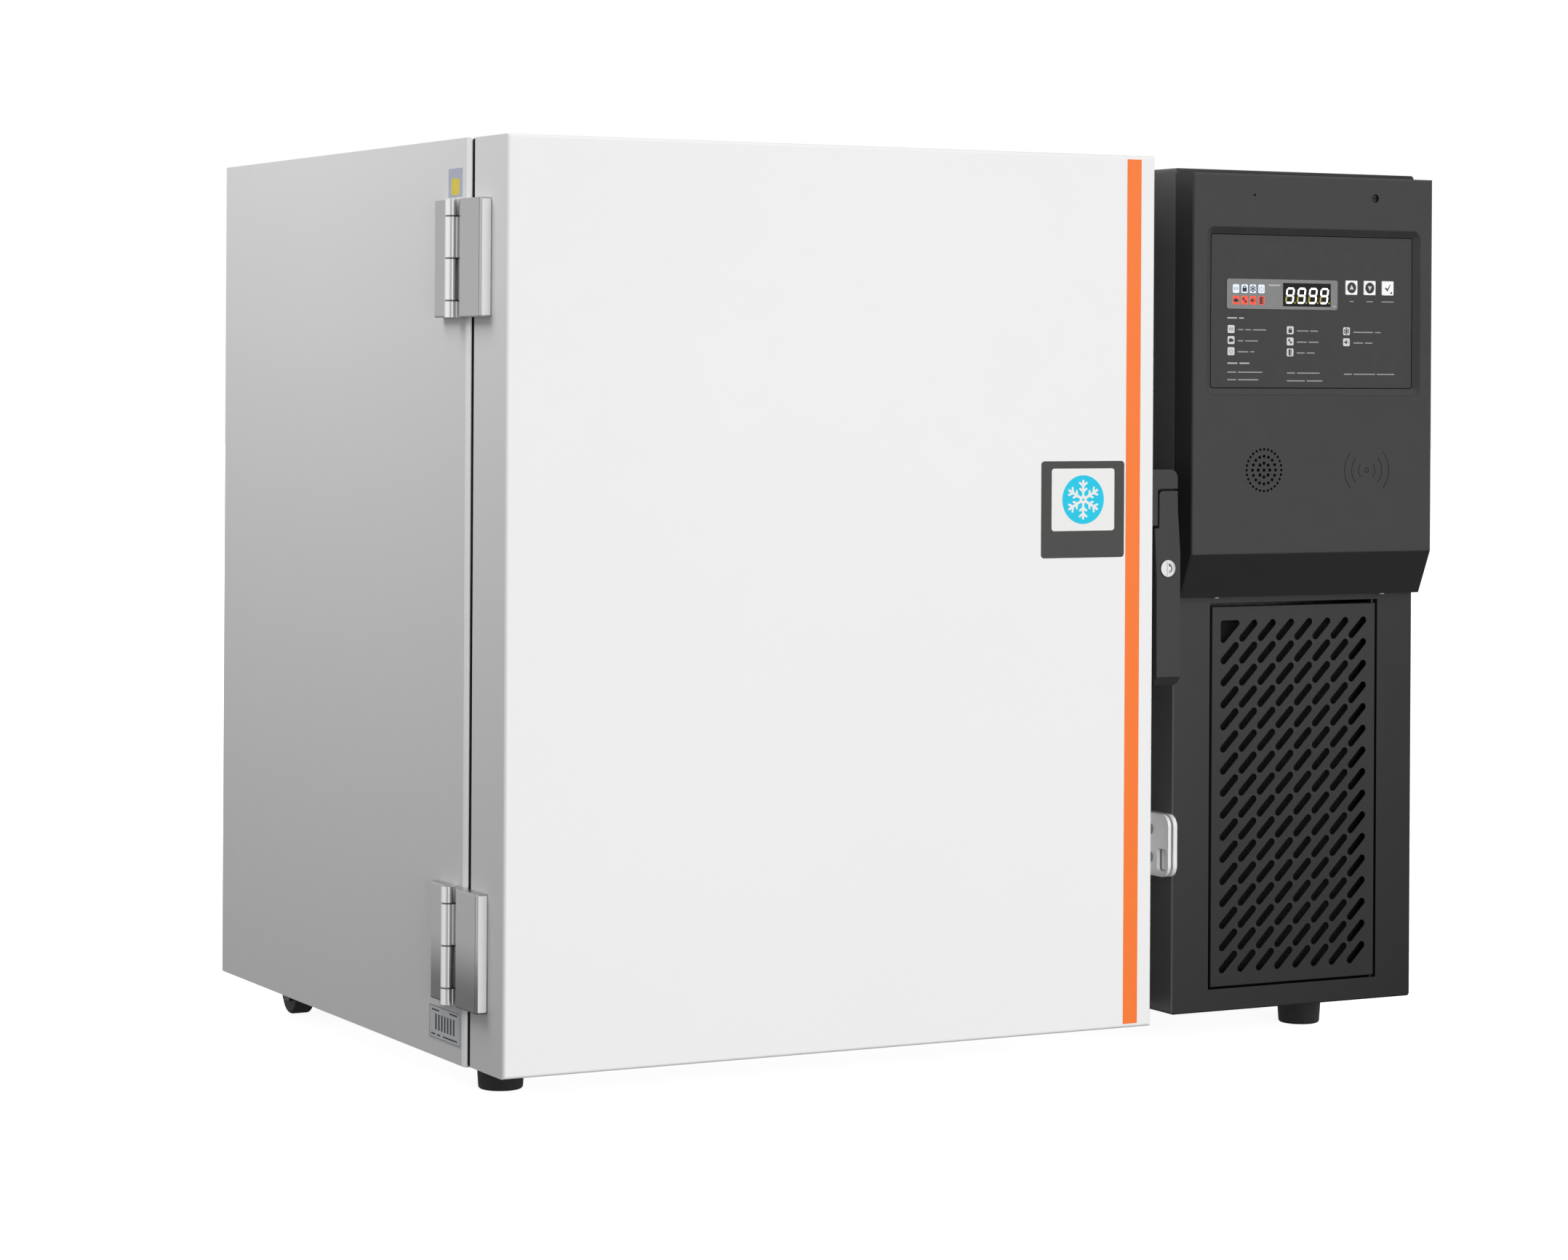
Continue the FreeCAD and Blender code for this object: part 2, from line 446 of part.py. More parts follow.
# intake grille: pressed sheet with turned-back edges, slanted slots and a finger notch
gx0, gx1, gz0, gz1 = GRI
g = box(gx0, gx1, MAC_Y0 + 0.3, MAC_Y0 + 9, gz0, gz1)
g = g.makeFillet(1.0, edges_where(g, lambda a, b: near(a.y, MAC_Y0 + 0.3) and near(b.y, MAC_Y0 + 0.3)))
g = g.cut(box(gx0 + 1.2, gx1 - 1.2, MAC_Y0 + 1.8, MAC_Y0 + 10, gz0 + 1.2, gz1 - 1.2))
g = fuse([g, box(gx1 - 4.4, gx1 - 0.3, MAC_Y0 + 1.5, MAC_Y0 + 6, gz0 + 0.3, gz0 + 9),
          box(gx1 - 4.4, gx1 - 0.3, MAC_Y0 + 1.5, MAC_Y0 + 6, gz1 - 9, gz1 - 0.3),
          cyl("z", GHX, GHY, gz0 - 3.2, 1.2, 5), cyl("z", GHX, GHY, gz1 - 2, 1.2, 5.2)])
slots = []
for c in range(8):
    for r in range(16):
        if c == 0 and r == 0:
            continue
        cx = 749.2 + 10.1 + 20.51 * c
        cz = 371.6 + 10.1 - 20.33 * r
        slots.append(stadium(cx, cz, 25.7, 7.0, 45.0, MAC_Y0 - 1, MAC_Y0 + 4))
tri = prism_y([(749.2, 391.8), (774.3, 391.8), (749.2, 366.7)], MAC_Y0 - 1, MAC_Y0 + 4)
tri = tri.makeFillet(3.0, [e for e in tri.Edges if near(e.Vertexes[0].X, e.Vertexes[1].X) and near(e.Vertexes[0].Z, e.Vertexes[1].Z)])
g = g.cut(Part.makeCompound(slots + [tri]))
node("intake_grille", g)
node("air_filter", box(740, 922, 84.5, 90.0, 56, 404))

# control housing with a sloped underside
prof = [(HOU_Y0, HOU_Z1), (HOU_Y0, HOU_ZS), (HOU_YS, HOU_Z0), (MAC_Y0, HOU_Z0), (MAC_Y0, HOU_Z1)]
ho = prism_x(prof, MAC_X0, W_ALL)
ho = ho.makeFillet(2.2, [e for e in ho.Edges if len(e.Vertexes) == 2 and not (near(e.Vertexes[0].Y, MAC_Y0) and near(e.Vertexes[1].Y, MAC_Y0))
                         and not (near(e.Vertexes[0].Y, HOU_YS) and near(e.Vertexes[1].Y, HOU_YS))
                         and abs(e.Vertexes[0].Y - e.Vertexes[1].Y) < 20.0
                         and not (near(e.Vertexes[0].Z, HOU_Z0) and near(e.Vertexes[1].Z, HOU_Z0))
                         and not (near(e.Vertexes[0].Z, HOU_Z1) and near(e.Vertexes[1].Z, HOU_Z1) and not near(e.Vertexes[0].Y, e.Vertexes[1].Y))])
T = 3.0
hi = prism_x([(HOU_Y0 + T, HOU_Z1 - T), (HOU_Y0 + T, HOU_ZS + 0.7), (HOU_YS + T * 0.95, HOU_Z0 + T), (MAC_Y0 + 1, HOU_Z0 + T),
              (MAC_Y0 + 1, HOU_Z1 - T)], MAC_X0 + T, W_ALL - T)
hous = ho.cut(hi)
cuts = [rplate(BEZ[0], BEZ[1], HOU_Y0 - 2, HOU_Y0 + 6, BEZ[2], BEZ[3], 8.0)]
sp = (775.8, 530.8)
for n, rr, hr in ((1, 0, 1.65), (8, 6.35, 1.6), (16, 12.7, 1.5), (28, 19.2, 1.25)):
    for k in range(n):
        t = 2 * math.pi * k / n
        cuts.append(cyl("y", sp[0] + rr * math.sin(t), HOU_Y0 - 1, sp[1] + rr * math.cos(t), hr, 6))
cuts += [cyl("y", 764.0, HOU_Y0 - 1, 783.0, 1.1, 6), cyl("y", 899.0, HOU_Y0 - 1, 783.0, 4.0, 6)]
cuts.append(box(W_ALL - 8, W_ALL + 1, 51.9, 58.1, 522.9, 537.1))
cuts += [cyl("z", x, 66.8, HOU_Z0 - 1, 1.6, 6) for x in (739.0, 925.0)]
hous = hous.cut(Part.makeCompound(cuts))
node("control_housing", hous)

blk = rplate(BEZ[0] + 0.15, BEZ[1] - 0.15, HOU_Y0 + 0.1, PAN_Y + 3, BEZ[2] + 0.15, BEZ[3] - 0.15, 7.85)
w0 = rrect_wire(BEZ[0] + 0.45, BEZ[1] - 0.45, BEZ[2] + 0.45, BEZ[3] - 0.45, 7.6, HOU_Y0 + 0.1 - 1e-3)
w1 = rrect_wire(PAN[0], PAN[1], PAN[2], PAN[3], 3.0, PAN_Y)
sink = Part.makeLoft([w0, w1], True, True)
panel = blk.cut(sink)
panel = panel.cut([box(x - 6.95, x + 6.95, PAN_Y - 2, PAN_Y + 5, KEY_Z - 6.95, KEY_Z + 6.95) for x in KEYS])
node("control_panel", panel)
fr = rplate(736.0, 859.0, PAN_Y - 0.6, PAN_Y, 678.6, 706.0, 2.2)
fr = fr.cut(rplate(797.8, 851.4, PAN_Y - 2, PAN_Y - 0.3, 681.2, 703.0, 0.8))
node("display_module", fr)

lamps = []
for x in (745.8, 755.2, 764.4, 773.8):
    for z in (697.0, 686.4):
        lamps.append(rplate(x - 3.5, x + 3.5, PAN_Y - 0.85, PAN_Y - 0.6, z - 4.0, z + 4.0, 1.3))
node("status_lamps", lamps)
for x, n in zip(KEYS, ("key_up", "key_down", "key_set")):
    k = box(x - 6.65, x + 6.65, PAN_Y - 1.0, PAN_Y + 2.4, KEY_Z - 6.65, KEY_Z + 6.65)
    k = k.makeFillet(0.7, [e for e in k.Edges if abs(e.Vertexes[0].Y - e.Vertexes[1].Y) > 1])
    k = k.makeFillet(0.4, [e for e in k.Edges if len(e.Vertexes) == 2 and near(e.BoundBox.YMin, PAN_Y - 1.0) and near(e.BoundBox.YMax, PAN_Y - 1.0)])
    k = fuse([k, cyl("y", x, PAN_Y + 1, KEY_Z, 2.4, 8.0)])
    node(n, k)
bd = [box(722, 940, 60.0, 61.6, 607, 746), box(798, 851, 52.0, 60.2, 681, 703)]
bd += [box(x - 4, x + 4, PAN_Y + 9.8, 60.2, KEY_Z - 4, KEY_Z + 4) for x in KEYS]
bd += [cyl("y", x, 50.0, z, 2.5, 10.2) for x in (745.8, 755.2, 764.4, 773.8) for z in (697.0, 686.4)]
bd += [box(760, 784, 61.4, 68.0, 620, 644), box(850, 890, 61.4, 67.0, 612, 630)]
node("control_board", fuse(bd))
buzz = fuse([cyl("y", sp[0], HOU_Y0 + T, sp[1], 23.0, 3.0).cut(cyl("y", sp[0], HOU_Y0, sp[1], 20.8, 9.0)),
             cyl("y", sp[0], HOU_Y0 + T + 3.0, sp[1], 23.0, 10.0)])
node("alarm_sounder", buzz)
usb = box(W_ALL - 17, W_ALL - 0.2, 52.0, 58.0, 523.0, 537.0)
usb = usb.cut(box(W_ALL - 15, W_ALL + 1, 52.5, 57.6, 523.6, 536.4))
node("usb_socket", usb)
hsc = []
for x in (739.0, 925.0):
    hsc.append(cyl("z", x, 66.8, HOU_Z0 - 1.1, 3.4, 1.1))
    hsc.append(cyl("z", x, 66.8, HOU_Z0, 1.5, 2.8))
hsc.append(cyl("y", 899.0, HOU_Y0 + 1.6, 783.0, 3.7, 8.0).cut(
    Part.makeCompound([box(895, 903, HOU_Y0 + 1, HOU_Y0 + 2.6, 782.4, 783.6)])))
node("housing_screws", hsc)

# ------------------------------------------------------------------ refrigeration plant
core = box(724, 938, 112, 148, 60, 400)
tubes = []
for i in range(12):
    z = 76 + 28 * i
    for x in (722.0, 940.0):
        tubes.append(cyl("y", x, 118, z, 4.5, 24))
node("condenser", fuse([core] + tubes))
sh = box(716, 946, 150, 153, 56, 404)
sh = fuse([sh, cyl("y", FAN[0], 153, FAN[1], 90, 30)])
sh = sh.cut([cyl("y", FAN[0], 148, FAN[1], 86.0, 40), cyl("y", 938, 148, 285, 5.0, 8)])
node("fan_shroud", sh)
arms = [cyl("y", FAN[0], 188, FAN[1], 30, 40)]
for a in (45, 135, 225, 315):
    b = box(25, 105, -5, 5, -4, 4)
    b.rotate(V(0, 0, 0), V(0, 1, 0), a)
    b.translate(V(FAN[0], 193, FAN[1]))
    arms.append(b)
    t = math.radians(a)
    arms.append(cyl("y", FAN[0] + 101 * math.cos(t), 153, FAN[1] - 101 * math.sin(t), 4, 42))
node("fan_motor", fuse(arms).cut(cyl("y", FAN[0], 180, FAN[1], 4.05, 22)))
blades = [cyl("y", FAN[0], 158, FAN[1], 24, 22)]
for k in range(5):
    b = box(18, 80, -1.2, 1.2, -20, 20)
    b.rotate(V(0, 0, 0), V(1, 0, 0), 55)
    b.rotate(V(0, 0, 0), V(0, 1, 0), 72 * k)
    b.translate(V(FAN[0], 169, FAN[1]))
    blades.append(b)
fan = fuse(blades + [cyl("y", FAN[0], 178, FAN[1], 4.0, 22)])
node("condenser_fan", fan)

for n, y in (("compressor_high_stage", 330.0), ("compressor_low_stage", 540.0)):
    c = cyl("z", 815, y, 62, 76, 170)
    c = c.makeFillet(32.0, [e for e in c.Edges if near(e.BoundBox.ZMin, 232) and near(e.BoundBox.ZMax, 232)])
    c = c.makeFillet(22.0, [e for e in c.Edges if near(e.BoundBox.ZMin, 62) and near(e.BoundBox.ZMax, 62)])
    c = fuse([c, box(735, 895, y - 62, y + 62, 56, 60), box(770, 860, y - 50, y + 50, 59, 70),
              box(885, 905, y - 22, y + 22, 130, 190), cyl("z", 815, y, 225, 6, 18)])
    node(n, [c] + [cyl("z", 815 + sx, y + sy, CAB_Z0 + 2, 10, 18) for sx in (-68, 68) for sy in (-50, 50)])
node("cascade_exchanger", box(736, 900, 300, 560, 300, 540))
osep = cyl("z", 932, 250, 60, 24, 170)
osep = osep.makeFillet(10, [e for e in osep.Edges if near(e.BoundBox.ZMin, e.BoundBox.ZMax)])
osep = fuse([osep, box(928, 936, 246, 254, 38, 70)])
fd = fuse([cyl("z", 938, 460, 320, 15, 90), Part.makeCone(15, 4, 22, V(938, 460, 410), V(0, 0, 1)),
           Part.makeCone(4, 15, 22, V(938, 460, 298), V(0, 0, 1))])
lines = [pipe([(815, 330, 243), (815, 330, 272), (932, 330, 272), (932, 250, 272), (932, 250, 230)], 4.0, 12.0),
         pipe([(938, 460, 432), (938, 460, 575), (860, 460, 575), (860, 460, 540)], 4.0, 12.0),
         pipe([(800, 420, 540), (800, 420, 600), (ex1 + 12, 420, 600)], 6.0, 16.0),
         pipe([(938, 460, 298), (938, 460, 285), (938, 148, 285)], 4.0, 6.0)]
node("refrigerant_lines", lines + [osep, fd])
node("relay_box", fuse([box(730, 900, 300, 520, 620, 760), box(726, 904, 296, 524, 757, 762)]))
inlet = rplate(886, 934, 645, D_ALL, 560, 590, 2.0)
inlet = inlet.cut(rplate(896, 924, 655, D_ALL + 1, 566, 584, 2.0))
inlet = fuse([inlet, box(902, 904, 650, 669, 571, 577), box(916, 918, 650, 669, 571, 577), box(909, 911, 650, 669, 575, 581)])
node("power_inlet", inlet)
sw = rplate(886, 914, 650, D_ALL, 600, 622, 1.5)
sw = sw.cut([box(889.5, 910.5, 660, D_ALL + 1, 603, 619), ])
sw = fuse([sw, cyl("z", 900, 666.0, 602, 1.2, 5.0), cyl("z", 900, 666.0, 615.0, 1.2, 5.0)])
node("power_switch_body", sw)
rk = prism_z([(890.3, 664.0), (909.7, 664.0), (909.7, 667.5), (907.0, 670.5), (900.0, 671.6), (893.0, 673.4), (890.3, 669.0)], 605.4, 616.6)
rk = rk.cut([cyl("z", 900, 666.0, 600, 1.26, 30)])
node("power_switch_rocker", rk)

# ------------------------------------------------------------------ feet and wheels
for (x, y), n in zip(FEET, ("levelling_foot_left", "levelling_foot_right")):
    f = Part.makeCone(19.2, 21.4, 32.0, V(x, y, 0), V(0, 0, 1))
    f = f.makeFillet(2.5, [e for e in f.Edges if near(e.BoundBox.ZMin, 0) and near(e.BoundBox.ZMax, 0)])
    gr = []
    for k in range(32):
        t = 2 * math.pi * k / 32
        gr.append(Part.makeCylinder(0.9, 40, V(x + 20.0 * math.cos(t), y + 20.0 * math.sin(t), 3.0),
                                    V(0.069 * math.cos(t), 0.069 * math.sin(t), 1)))
    f = f.cut(Part.makeCompound(gr))
    f = fuse([f, cyl("z", x, y, 31, 5.0, 15)])
    node(n, f)
brs, axles = [], []
for (x, y), n in zip(WHEELS, ("rear_wheel_left", "rear_wheel_right")):
    w = cyl("x", x - 9.75, y, WHEEL_R, WHEEL_R, 19.5)
    w = w.makeFillet(3.0, [e for e in w.Edges if near(e.BoundBox.XMin, e.BoundBox.XMax)])
    w = w.cut(cyl("x", x - 20, y, WHEEL_R, 4.06, 40))
    node(n, w)
    b = []
    for s in (-1, 1):
        xa, xb = sorted((x + s * 10.6, x + s * 13.0))
        ch = prism_x([(y - 16, CAB_Z0 - 3), (y + 16, CAB_Z0 - 3), (y + 8, WHEEL_R - 7), (y - 8, WHEEL_R - 7)], xa, xb)
        b.append(ch.cut(cyl("x", x - 20, y, WHEEL_R, 4.0, 40)))
        xa, xb = sorted((x + s * 10.6, x + s * 22.0))
        b.append(box(xa, xb, y - 16, y + 16, CAB_Z0 - 5, CAB_Z0 - 3))
    brs.append(fuse([b[0], b[1]]))
    brs.append(fuse([b[2], b[3]]))
    axles.append(cyl("x", x - 14.0, y, WHEEL_R, 4.0, 28.0))
node("wheel_brackets", brs + axles)

# ------------------------------------------------------------------ export
lo_, hi_ = [1e9] * 3, [-1e9] * 3
for name, s in sorted(PARTS.items()):
    s = s.copy()
    s.translate(V(-XC, -YC, 0))
    bb = s.BoundBox
    for i, (a, b) in enumerate(((bb.XMin, bb.XMax), (bb.YMin, bb.YMax), (bb.ZMin, bb.ZMax))):
        lo_[i], hi_[i] = min(lo_[i], a), max(hi_[i], b)
    if bb.ZMin < -0.01:
        print("LOW", name, bb.ZMin)
    if not s.isValid() or s.Volume <= 0:
        print("INVALID", name, s.isValid(), s.Volume)
    print("%-26s solids %3d  vol %10.1f cm3" % (name, len(s.Solids), s.Volume / 1000.0))
    s.exportStep("parts/%s.step" % name)
print("nodes", len(PARTS), "bbox", [round(v, 2) for v in lo_], [round(v, 2) for v in hi_])
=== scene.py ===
import math
import random

import bmesh
import bpy
from mathutils import Matrix, Vector


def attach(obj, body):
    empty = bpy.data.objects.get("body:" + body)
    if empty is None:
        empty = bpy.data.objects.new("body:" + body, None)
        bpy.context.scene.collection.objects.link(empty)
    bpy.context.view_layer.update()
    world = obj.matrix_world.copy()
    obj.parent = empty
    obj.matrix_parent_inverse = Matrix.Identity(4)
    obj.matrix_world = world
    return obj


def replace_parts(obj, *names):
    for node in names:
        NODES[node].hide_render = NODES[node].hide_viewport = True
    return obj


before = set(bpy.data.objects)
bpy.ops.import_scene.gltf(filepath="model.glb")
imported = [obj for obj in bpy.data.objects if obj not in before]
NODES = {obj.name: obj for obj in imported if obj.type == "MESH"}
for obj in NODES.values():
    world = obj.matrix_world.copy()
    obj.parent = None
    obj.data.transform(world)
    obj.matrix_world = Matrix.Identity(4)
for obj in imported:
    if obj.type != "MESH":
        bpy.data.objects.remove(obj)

random.seed(7)
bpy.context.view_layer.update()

# ------------------------------------------------------------------ layout
# Lengths are written in millimetres from the cabinet's left face, the door's front face and
# the floor, as in the CAD source, and P() turns them into the row frame.
XC, YC = 475.1, 337.8


def P(x, y, z):
    return Vector(((x - XC) / 1000.0, (y - YC) / 1000.0, z / 1000.0))


def on_front(y):
    """plane that faces the viewer of the door: u is X, v is Z, w stands proud towards -Y"""
    return lambda u, v, w: P(u, y - w, v)


def on_left(x):
    return lambda u, v, w: P(x - w, u, v)


def on_right(x):
    return lambda u, v, w: P(x + w, u, v)


def on_back(y):
    return lambda u, v, w: P(u, y + w, v)


def on_top(z):
    return lambda u, v, w: P(u, v, z + w)


# ------------------------------------------------------------------ materials
class Mat:
    """Principled material with small helpers for node textures in object space (metres)"""

    def __init__(self, name, color=(0.5, 0.5, 0.5), rough=0.5, metal=0.0, spec=0.5, **more):
        self.m = bpy.data.materials.new(name)
        self.m.use_nodes = True
        self.nt = self.m.node_tree
        self.b = self.nt.nodes["Principled BSDF"]
        self.b.inputs["Base Color"].default_value = (*color, 1)
        self.b.inputs["Roughness"].default_value = rough
        self.b.inputs["Metallic"].default_value = metal
        self.b.inputs["Specular IOR Level"].default_value = spec
        for k, v in more.items():
            self.b.inputs[k.replace("_", " ")].default_value = v
        self.color = color
        tc = self.nt.nodes.new("ShaderNodeTexCoord")
        self.obj = tc.outputs["Object"]

    def node(self, kind, **props):
        n = self.nt.nodes.new(kind)
        for k, v in props.items():
            setattr(n, k, v)
        return n

    def link(self, a, b):
        self.nt.links.new(a, b)

    def coords(self, scale=(1, 1, 1), rot=(0, 0, 0), loc=(0, 0, 0)):
        n = self.node("ShaderNodeMapping")
        n.inputs["Scale"].default_value = scale
        n.inputs["Rotation"].default_value = rot
        n.inputs["Location"].default_value = loc
        self.link(self.obj, n.inputs["Vector"])
        return n.outputs["Vector"]

    def noise(self, scale, detail=2.0, rough=0.5, vec=None, dist=0.0):
        n = self.node("ShaderNodeTexNoise")
        n.inputs["Scale"].default_value = scale
        n.inputs["Detail"].default_value = detail
        n.inputs["Roughness"].default_value = rough
        n.inputs["Distortion"].default_value = dist
        self.link(vec if vec is not None else self.obj, n.inputs["Vector"])
        return n.outputs["Fac"]

    def voronoi(self, scale, feature="F1", vec=None, out="Distance"):
        n = self.node("ShaderNodeTexVoronoi", feature=feature)
        n.inputs["Scale"].default_value = scale
        self.link(vec if vec is not None else self.obj, n.inputs["Vector"])
        return n.outputs[out]

    def bands(self, period, direction="X", vec=None, profile="SIN", dist=0.0):
        n = self.node("ShaderNodeTexWave", wave_type="BANDS", bands_direction=direction, wave_profile=profile)
        n.inputs["Scale"].default_value = 2 * math.pi / (20.0 * period)
        n.inputs["Distortion"].default_value = dist
        self.link(vec if vec is not None else self.obj, n.inputs["Vector"])
        return n.outputs["Fac"]

    def span(self, value, a, b, c, d, smooth=False):
        n = self.node("ShaderNodeMapRange", interpolation_type="SMOOTHSTEP" if smooth else "LINEAR")
        for i, x in enumerate((a, b, c, d)):
            n.inputs[i + 1].default_value = x
        self.link(value, n.inputs[0])
        return n.outputs[0]

    def math(self, op, a, b=None):
        n = self.node("ShaderNodeMath", operation=op)
        for i, x in enumerate((a, b)):
            if x is None:
                continue
            if isinstance(x, (int, float)):
                n.inputs[i].default_value = x
            else:
                self.link(x, n.inputs[i])
        return n.outputs[0]

    def axis(self, name):
        n = self.node("ShaderNodeSeparateXYZ")
        self.link(self.obj, n.inputs[0])
        return n.outputs[name]

    def mix(self, fac, a, b):
        n = self.node("ShaderNodeMix", data_type="RGBA")
        for i, x in ((6, a), (7, b)):
            if isinstance(x, tuple):
                n.inputs[i].default_value = (*x, 1)
            else:
                self.link(x, n.inputs[i])
        self.link(fac, n.inputs[0])
        return n.outputs[2]

    def paint(self, out):
        self.link(out, self.b.inputs["Base Color"])
        return self

    def rough(self, out):
        self.link(out, self.b.inputs["Roughness"])
        return self

    def bump(self, height, strength, distance, below=None):
        n = self.node("ShaderNodeBump")
        n.inputs["Strength"].default_value = strength
        n.inputs["Distance"].default_value = distance
        self.link(height, n.inputs["Height"])
        if below is not None:
            self.link(below, n.inputs["Normal"])
        self.link(n.outputs["Normal"], self.b.inputs["Normal"])
        return n.outputs["Normal"]


def tone(c, k):
    return tuple(min(1.0, x * k) for x in c)


def powder(name, color, peel=260.0, grain=1500.0, r=(0.34, 0.46), peel_s=0.06, grain_s=0.05, spec=0.5, spread=0.03,
           cloud=3.0, speck=0.0):
    """powder coat: orange peel a few millimetres wide under a fine grain, with faint clouds of tone"""
    m = Mat(name, color, rough=sum(r) / 2, spec=spec)
    cloudy = m.noise(cloud, 3.0, 0.55)
    base = m.mix(m.span(cloudy, 0.3, 0.7, 0, 1), tone(color, 1 - spread), tone(color, 1 + spread))
    fine = m.noise(grain, 2.0, 0.6)
    if speck:
        base = m.mix(m.span(fine, 0.35, 0.75, 0, speck), base, tone(color, 2.2))
    m.paint(base)
    m.rough(m.span(m.noise(40.0, 4.0, 0.6), 0.3, 0.7, *r))
    n1 = m.bump(m.noise(peel, 1.0, 0.4), peel_s, 0.0008)
    m.bump(fine, grain_s, 0.0002, n1)
    return m.m


def moulded(name, color, r=(0.4, 0.5), grain=2200.0, grain_s=0.12, spec=0.5, spread=0.05, speck=0.12):
    """moulded plastic with an eroded fine grain"""
    m = Mat(name, color, rough=sum(r) / 2, spec=spec)
    cells = m.voronoi(grain, "SMOOTH_F1")
    fine = m.noise(grain * 0.8, 2.0, 0.6)
    base = m.mix(m.span(m.noise(4.0, 3.0), 0.3, 0.7, 0, 1), tone(color, 1 - spread), tone(color, 1 + spread))
    base = m.mix(m.span(fine, 0.4, 0.75, 0, speck), base, tone(color, 1.8))
    m.paint(base)
    m.rough(m.span(fine, 0.3, 0.7, *r))
    m.bump(m.math("ADD", m.math("MULTIPLY", cells, 0.5), fine), grain_s, 0.00012)
    return m.m


def brushed(name, color, along="Z", r=(0.24, 0.36), s=0.05, spread=0.05, smear=True):
    """metal with fine brush lines that run along one axis"""
    m = Mat(name, color, rough=sum(r) / 2, metal=1.0)
    k = {"X": (25, 2200, 2200), "Y": (2200, 25, 2200), "Z": (2200, 2200, 25)}[along]
    line = m.noise(1.0, 3.0, 0.7, vec=m.coords(scale=k))
    wide = m.noise(30.0, 3.0, 0.5)
    base = m.mix(m.span(line, 0.3, 0.7, 0, 1), tone(color, 1 - spread), tone(color, 1 + spread))
    if smear:
        base = m.mix(m.span(wide, 0.4, 0.8, 0, 0.25), base, tone(color, 0.86))
    m.paint(base)
    m.rough(m.span(m.math("ADD", m.math("MULTIPLY", line, 0.6), m.math("MULTIPLY", wide, 0.4)), 0.3, 0.7, *r))
    m.bump(line, s, 0.0001)
    return m.m


def satin_metal(name, color, r=(0.36, 0.5), grain=1200.0, s=0.08, spread=0.06, metal=1.0):
    """blasted or plated metal: no direction, fine mottling"""
    m = Mat(name, color, rough=sum(r) / 2, metal=metal)
    fine = m.noise(grain, 3.0, 0.65)
    wide = m.noise(55.0, 4.0, 0.6)
    m.paint(m.mix(m.span(wide, 0.3, 0.7, 0, 1), tone(color, 1 - spread), tone(color, 1 + spread)))
    m.rough(m.span(m.math("ADD", m.math("MULTIPLY", fine, 0.5), m.math("MULTIPLY", wide, 0.5)), 0.3, 0.7, *r))
    m.bump(fine, s, 0.00012)
    return m.m


def film(name, color, r=(0.3, 0.42), grain=1800.0, s=0.05, spread=0.03, spec=0.5):
    """printed or laid-on film"""
    m = Mat(name, color, rough=sum(r) / 2, spec=spec)
    fine = m.noise(grain, 2.0, 0.6)
    m.paint(m.mix(m.span(m.noise(90.0, 3.0, 0.6), 0.3, 0.7, 0, 1), tone(color, 1 - spread), tone(color, 1 + spread)))
    m.rough(m.span(fine, 0.3, 0.7, *r))
    m.bump(fine, s, 0.00008)
    return m.m


def lit(name, color, glow, spread=0.06):
    """back-lit print: emission that is a little stronger in its middle clouds"""
    m = Mat(name, color, rough=0.35)
    m.paint(m.mix(m.span(m.noise(700.0, 2.0), 0.3, 0.7, 0, 1), tone(color, 1 - spread), color))
    e = m.mix(m.span(m.noise(420.0, 2.0), 0.3, 0.7, 0, 1), tone(color, 0.9), color)
    m.link(e, m.b.inputs["Emission Color"])
    m.b.inputs["Emission Strength"].default_value = glow
    m.bump(m.noise(2500.0, 1.0), 0.04, 0.00005)
    return m.m


WHITE = (0.80, 0.80, 0.80)
m_white = powder("white_powder_coat", WHITE, spread=0.006, r=(0.36, 0.46), grain_s=0.03, peel_s=0.05)
BLACK = (0.0180, 0.0180, 0.0183)
m_black = powder("black_powder_coat", BLACK, peel=420.0, grain=1700.0, r=(0.31, 0.39), peel_s=0.07, grain_s=0.16,
                 spread=0.10, speck=0.25, spec=0.48)
m_latch = moulded("black_moulded_latch", (0.0250, 0.0250, 0.0253), r=(0.40, 0.50), grain=2600.0, speck=0.15, spec=0.48)
m_panel = film("dark_panel_film", (0.0255, 0.0255, 0.0258), r=(0.45, 0.55), grain=2400.0, s=0.12, spread=0.08)
m_grey = film("grey_display_film", (0.195, 0.197, 0.197), r=(0.42, 0.5), spread=0.04)
m_steel = brushed("satin_stainless", (0.62, 0.62, 0.625), "Z", r=(0.26, 0.36))
# pale film on the hinge pads' front edges: a painted highlight of the rounded edge
m_painted_highlight = film("painted_highlight_edge", (0.80, 0.80, 0.805), r=(0.28, 0.34), spread=0.02)
m_steel_in = brushed("chamber_stainless", (0.60, 0.605, 0.61), "X", r=(0.30, 0.42), s=0.06)
m_shelf = brushed("shelf_stainless", (0.62, 0.625, 0.63), "X", r=(0.28, 0.4), s=0.05)
m_zinc2 = satin_metal("galvanised_steel", (0.50, 0.51, 0.52), r=(0.42, 0.58), spread=0.14, grain=500.0)
m_chrome = satin_metal("lock_chrome", (0.72, 0.72, 0.73), r=(0.24, 0.28), grain=2500.0, s=0.02, spread=0.02)
m_screw = satin_metal("screw_steel", (0.60, 0.61, 0.62), r=(0.25, 0.38), grain=1500.0, s=0.05)


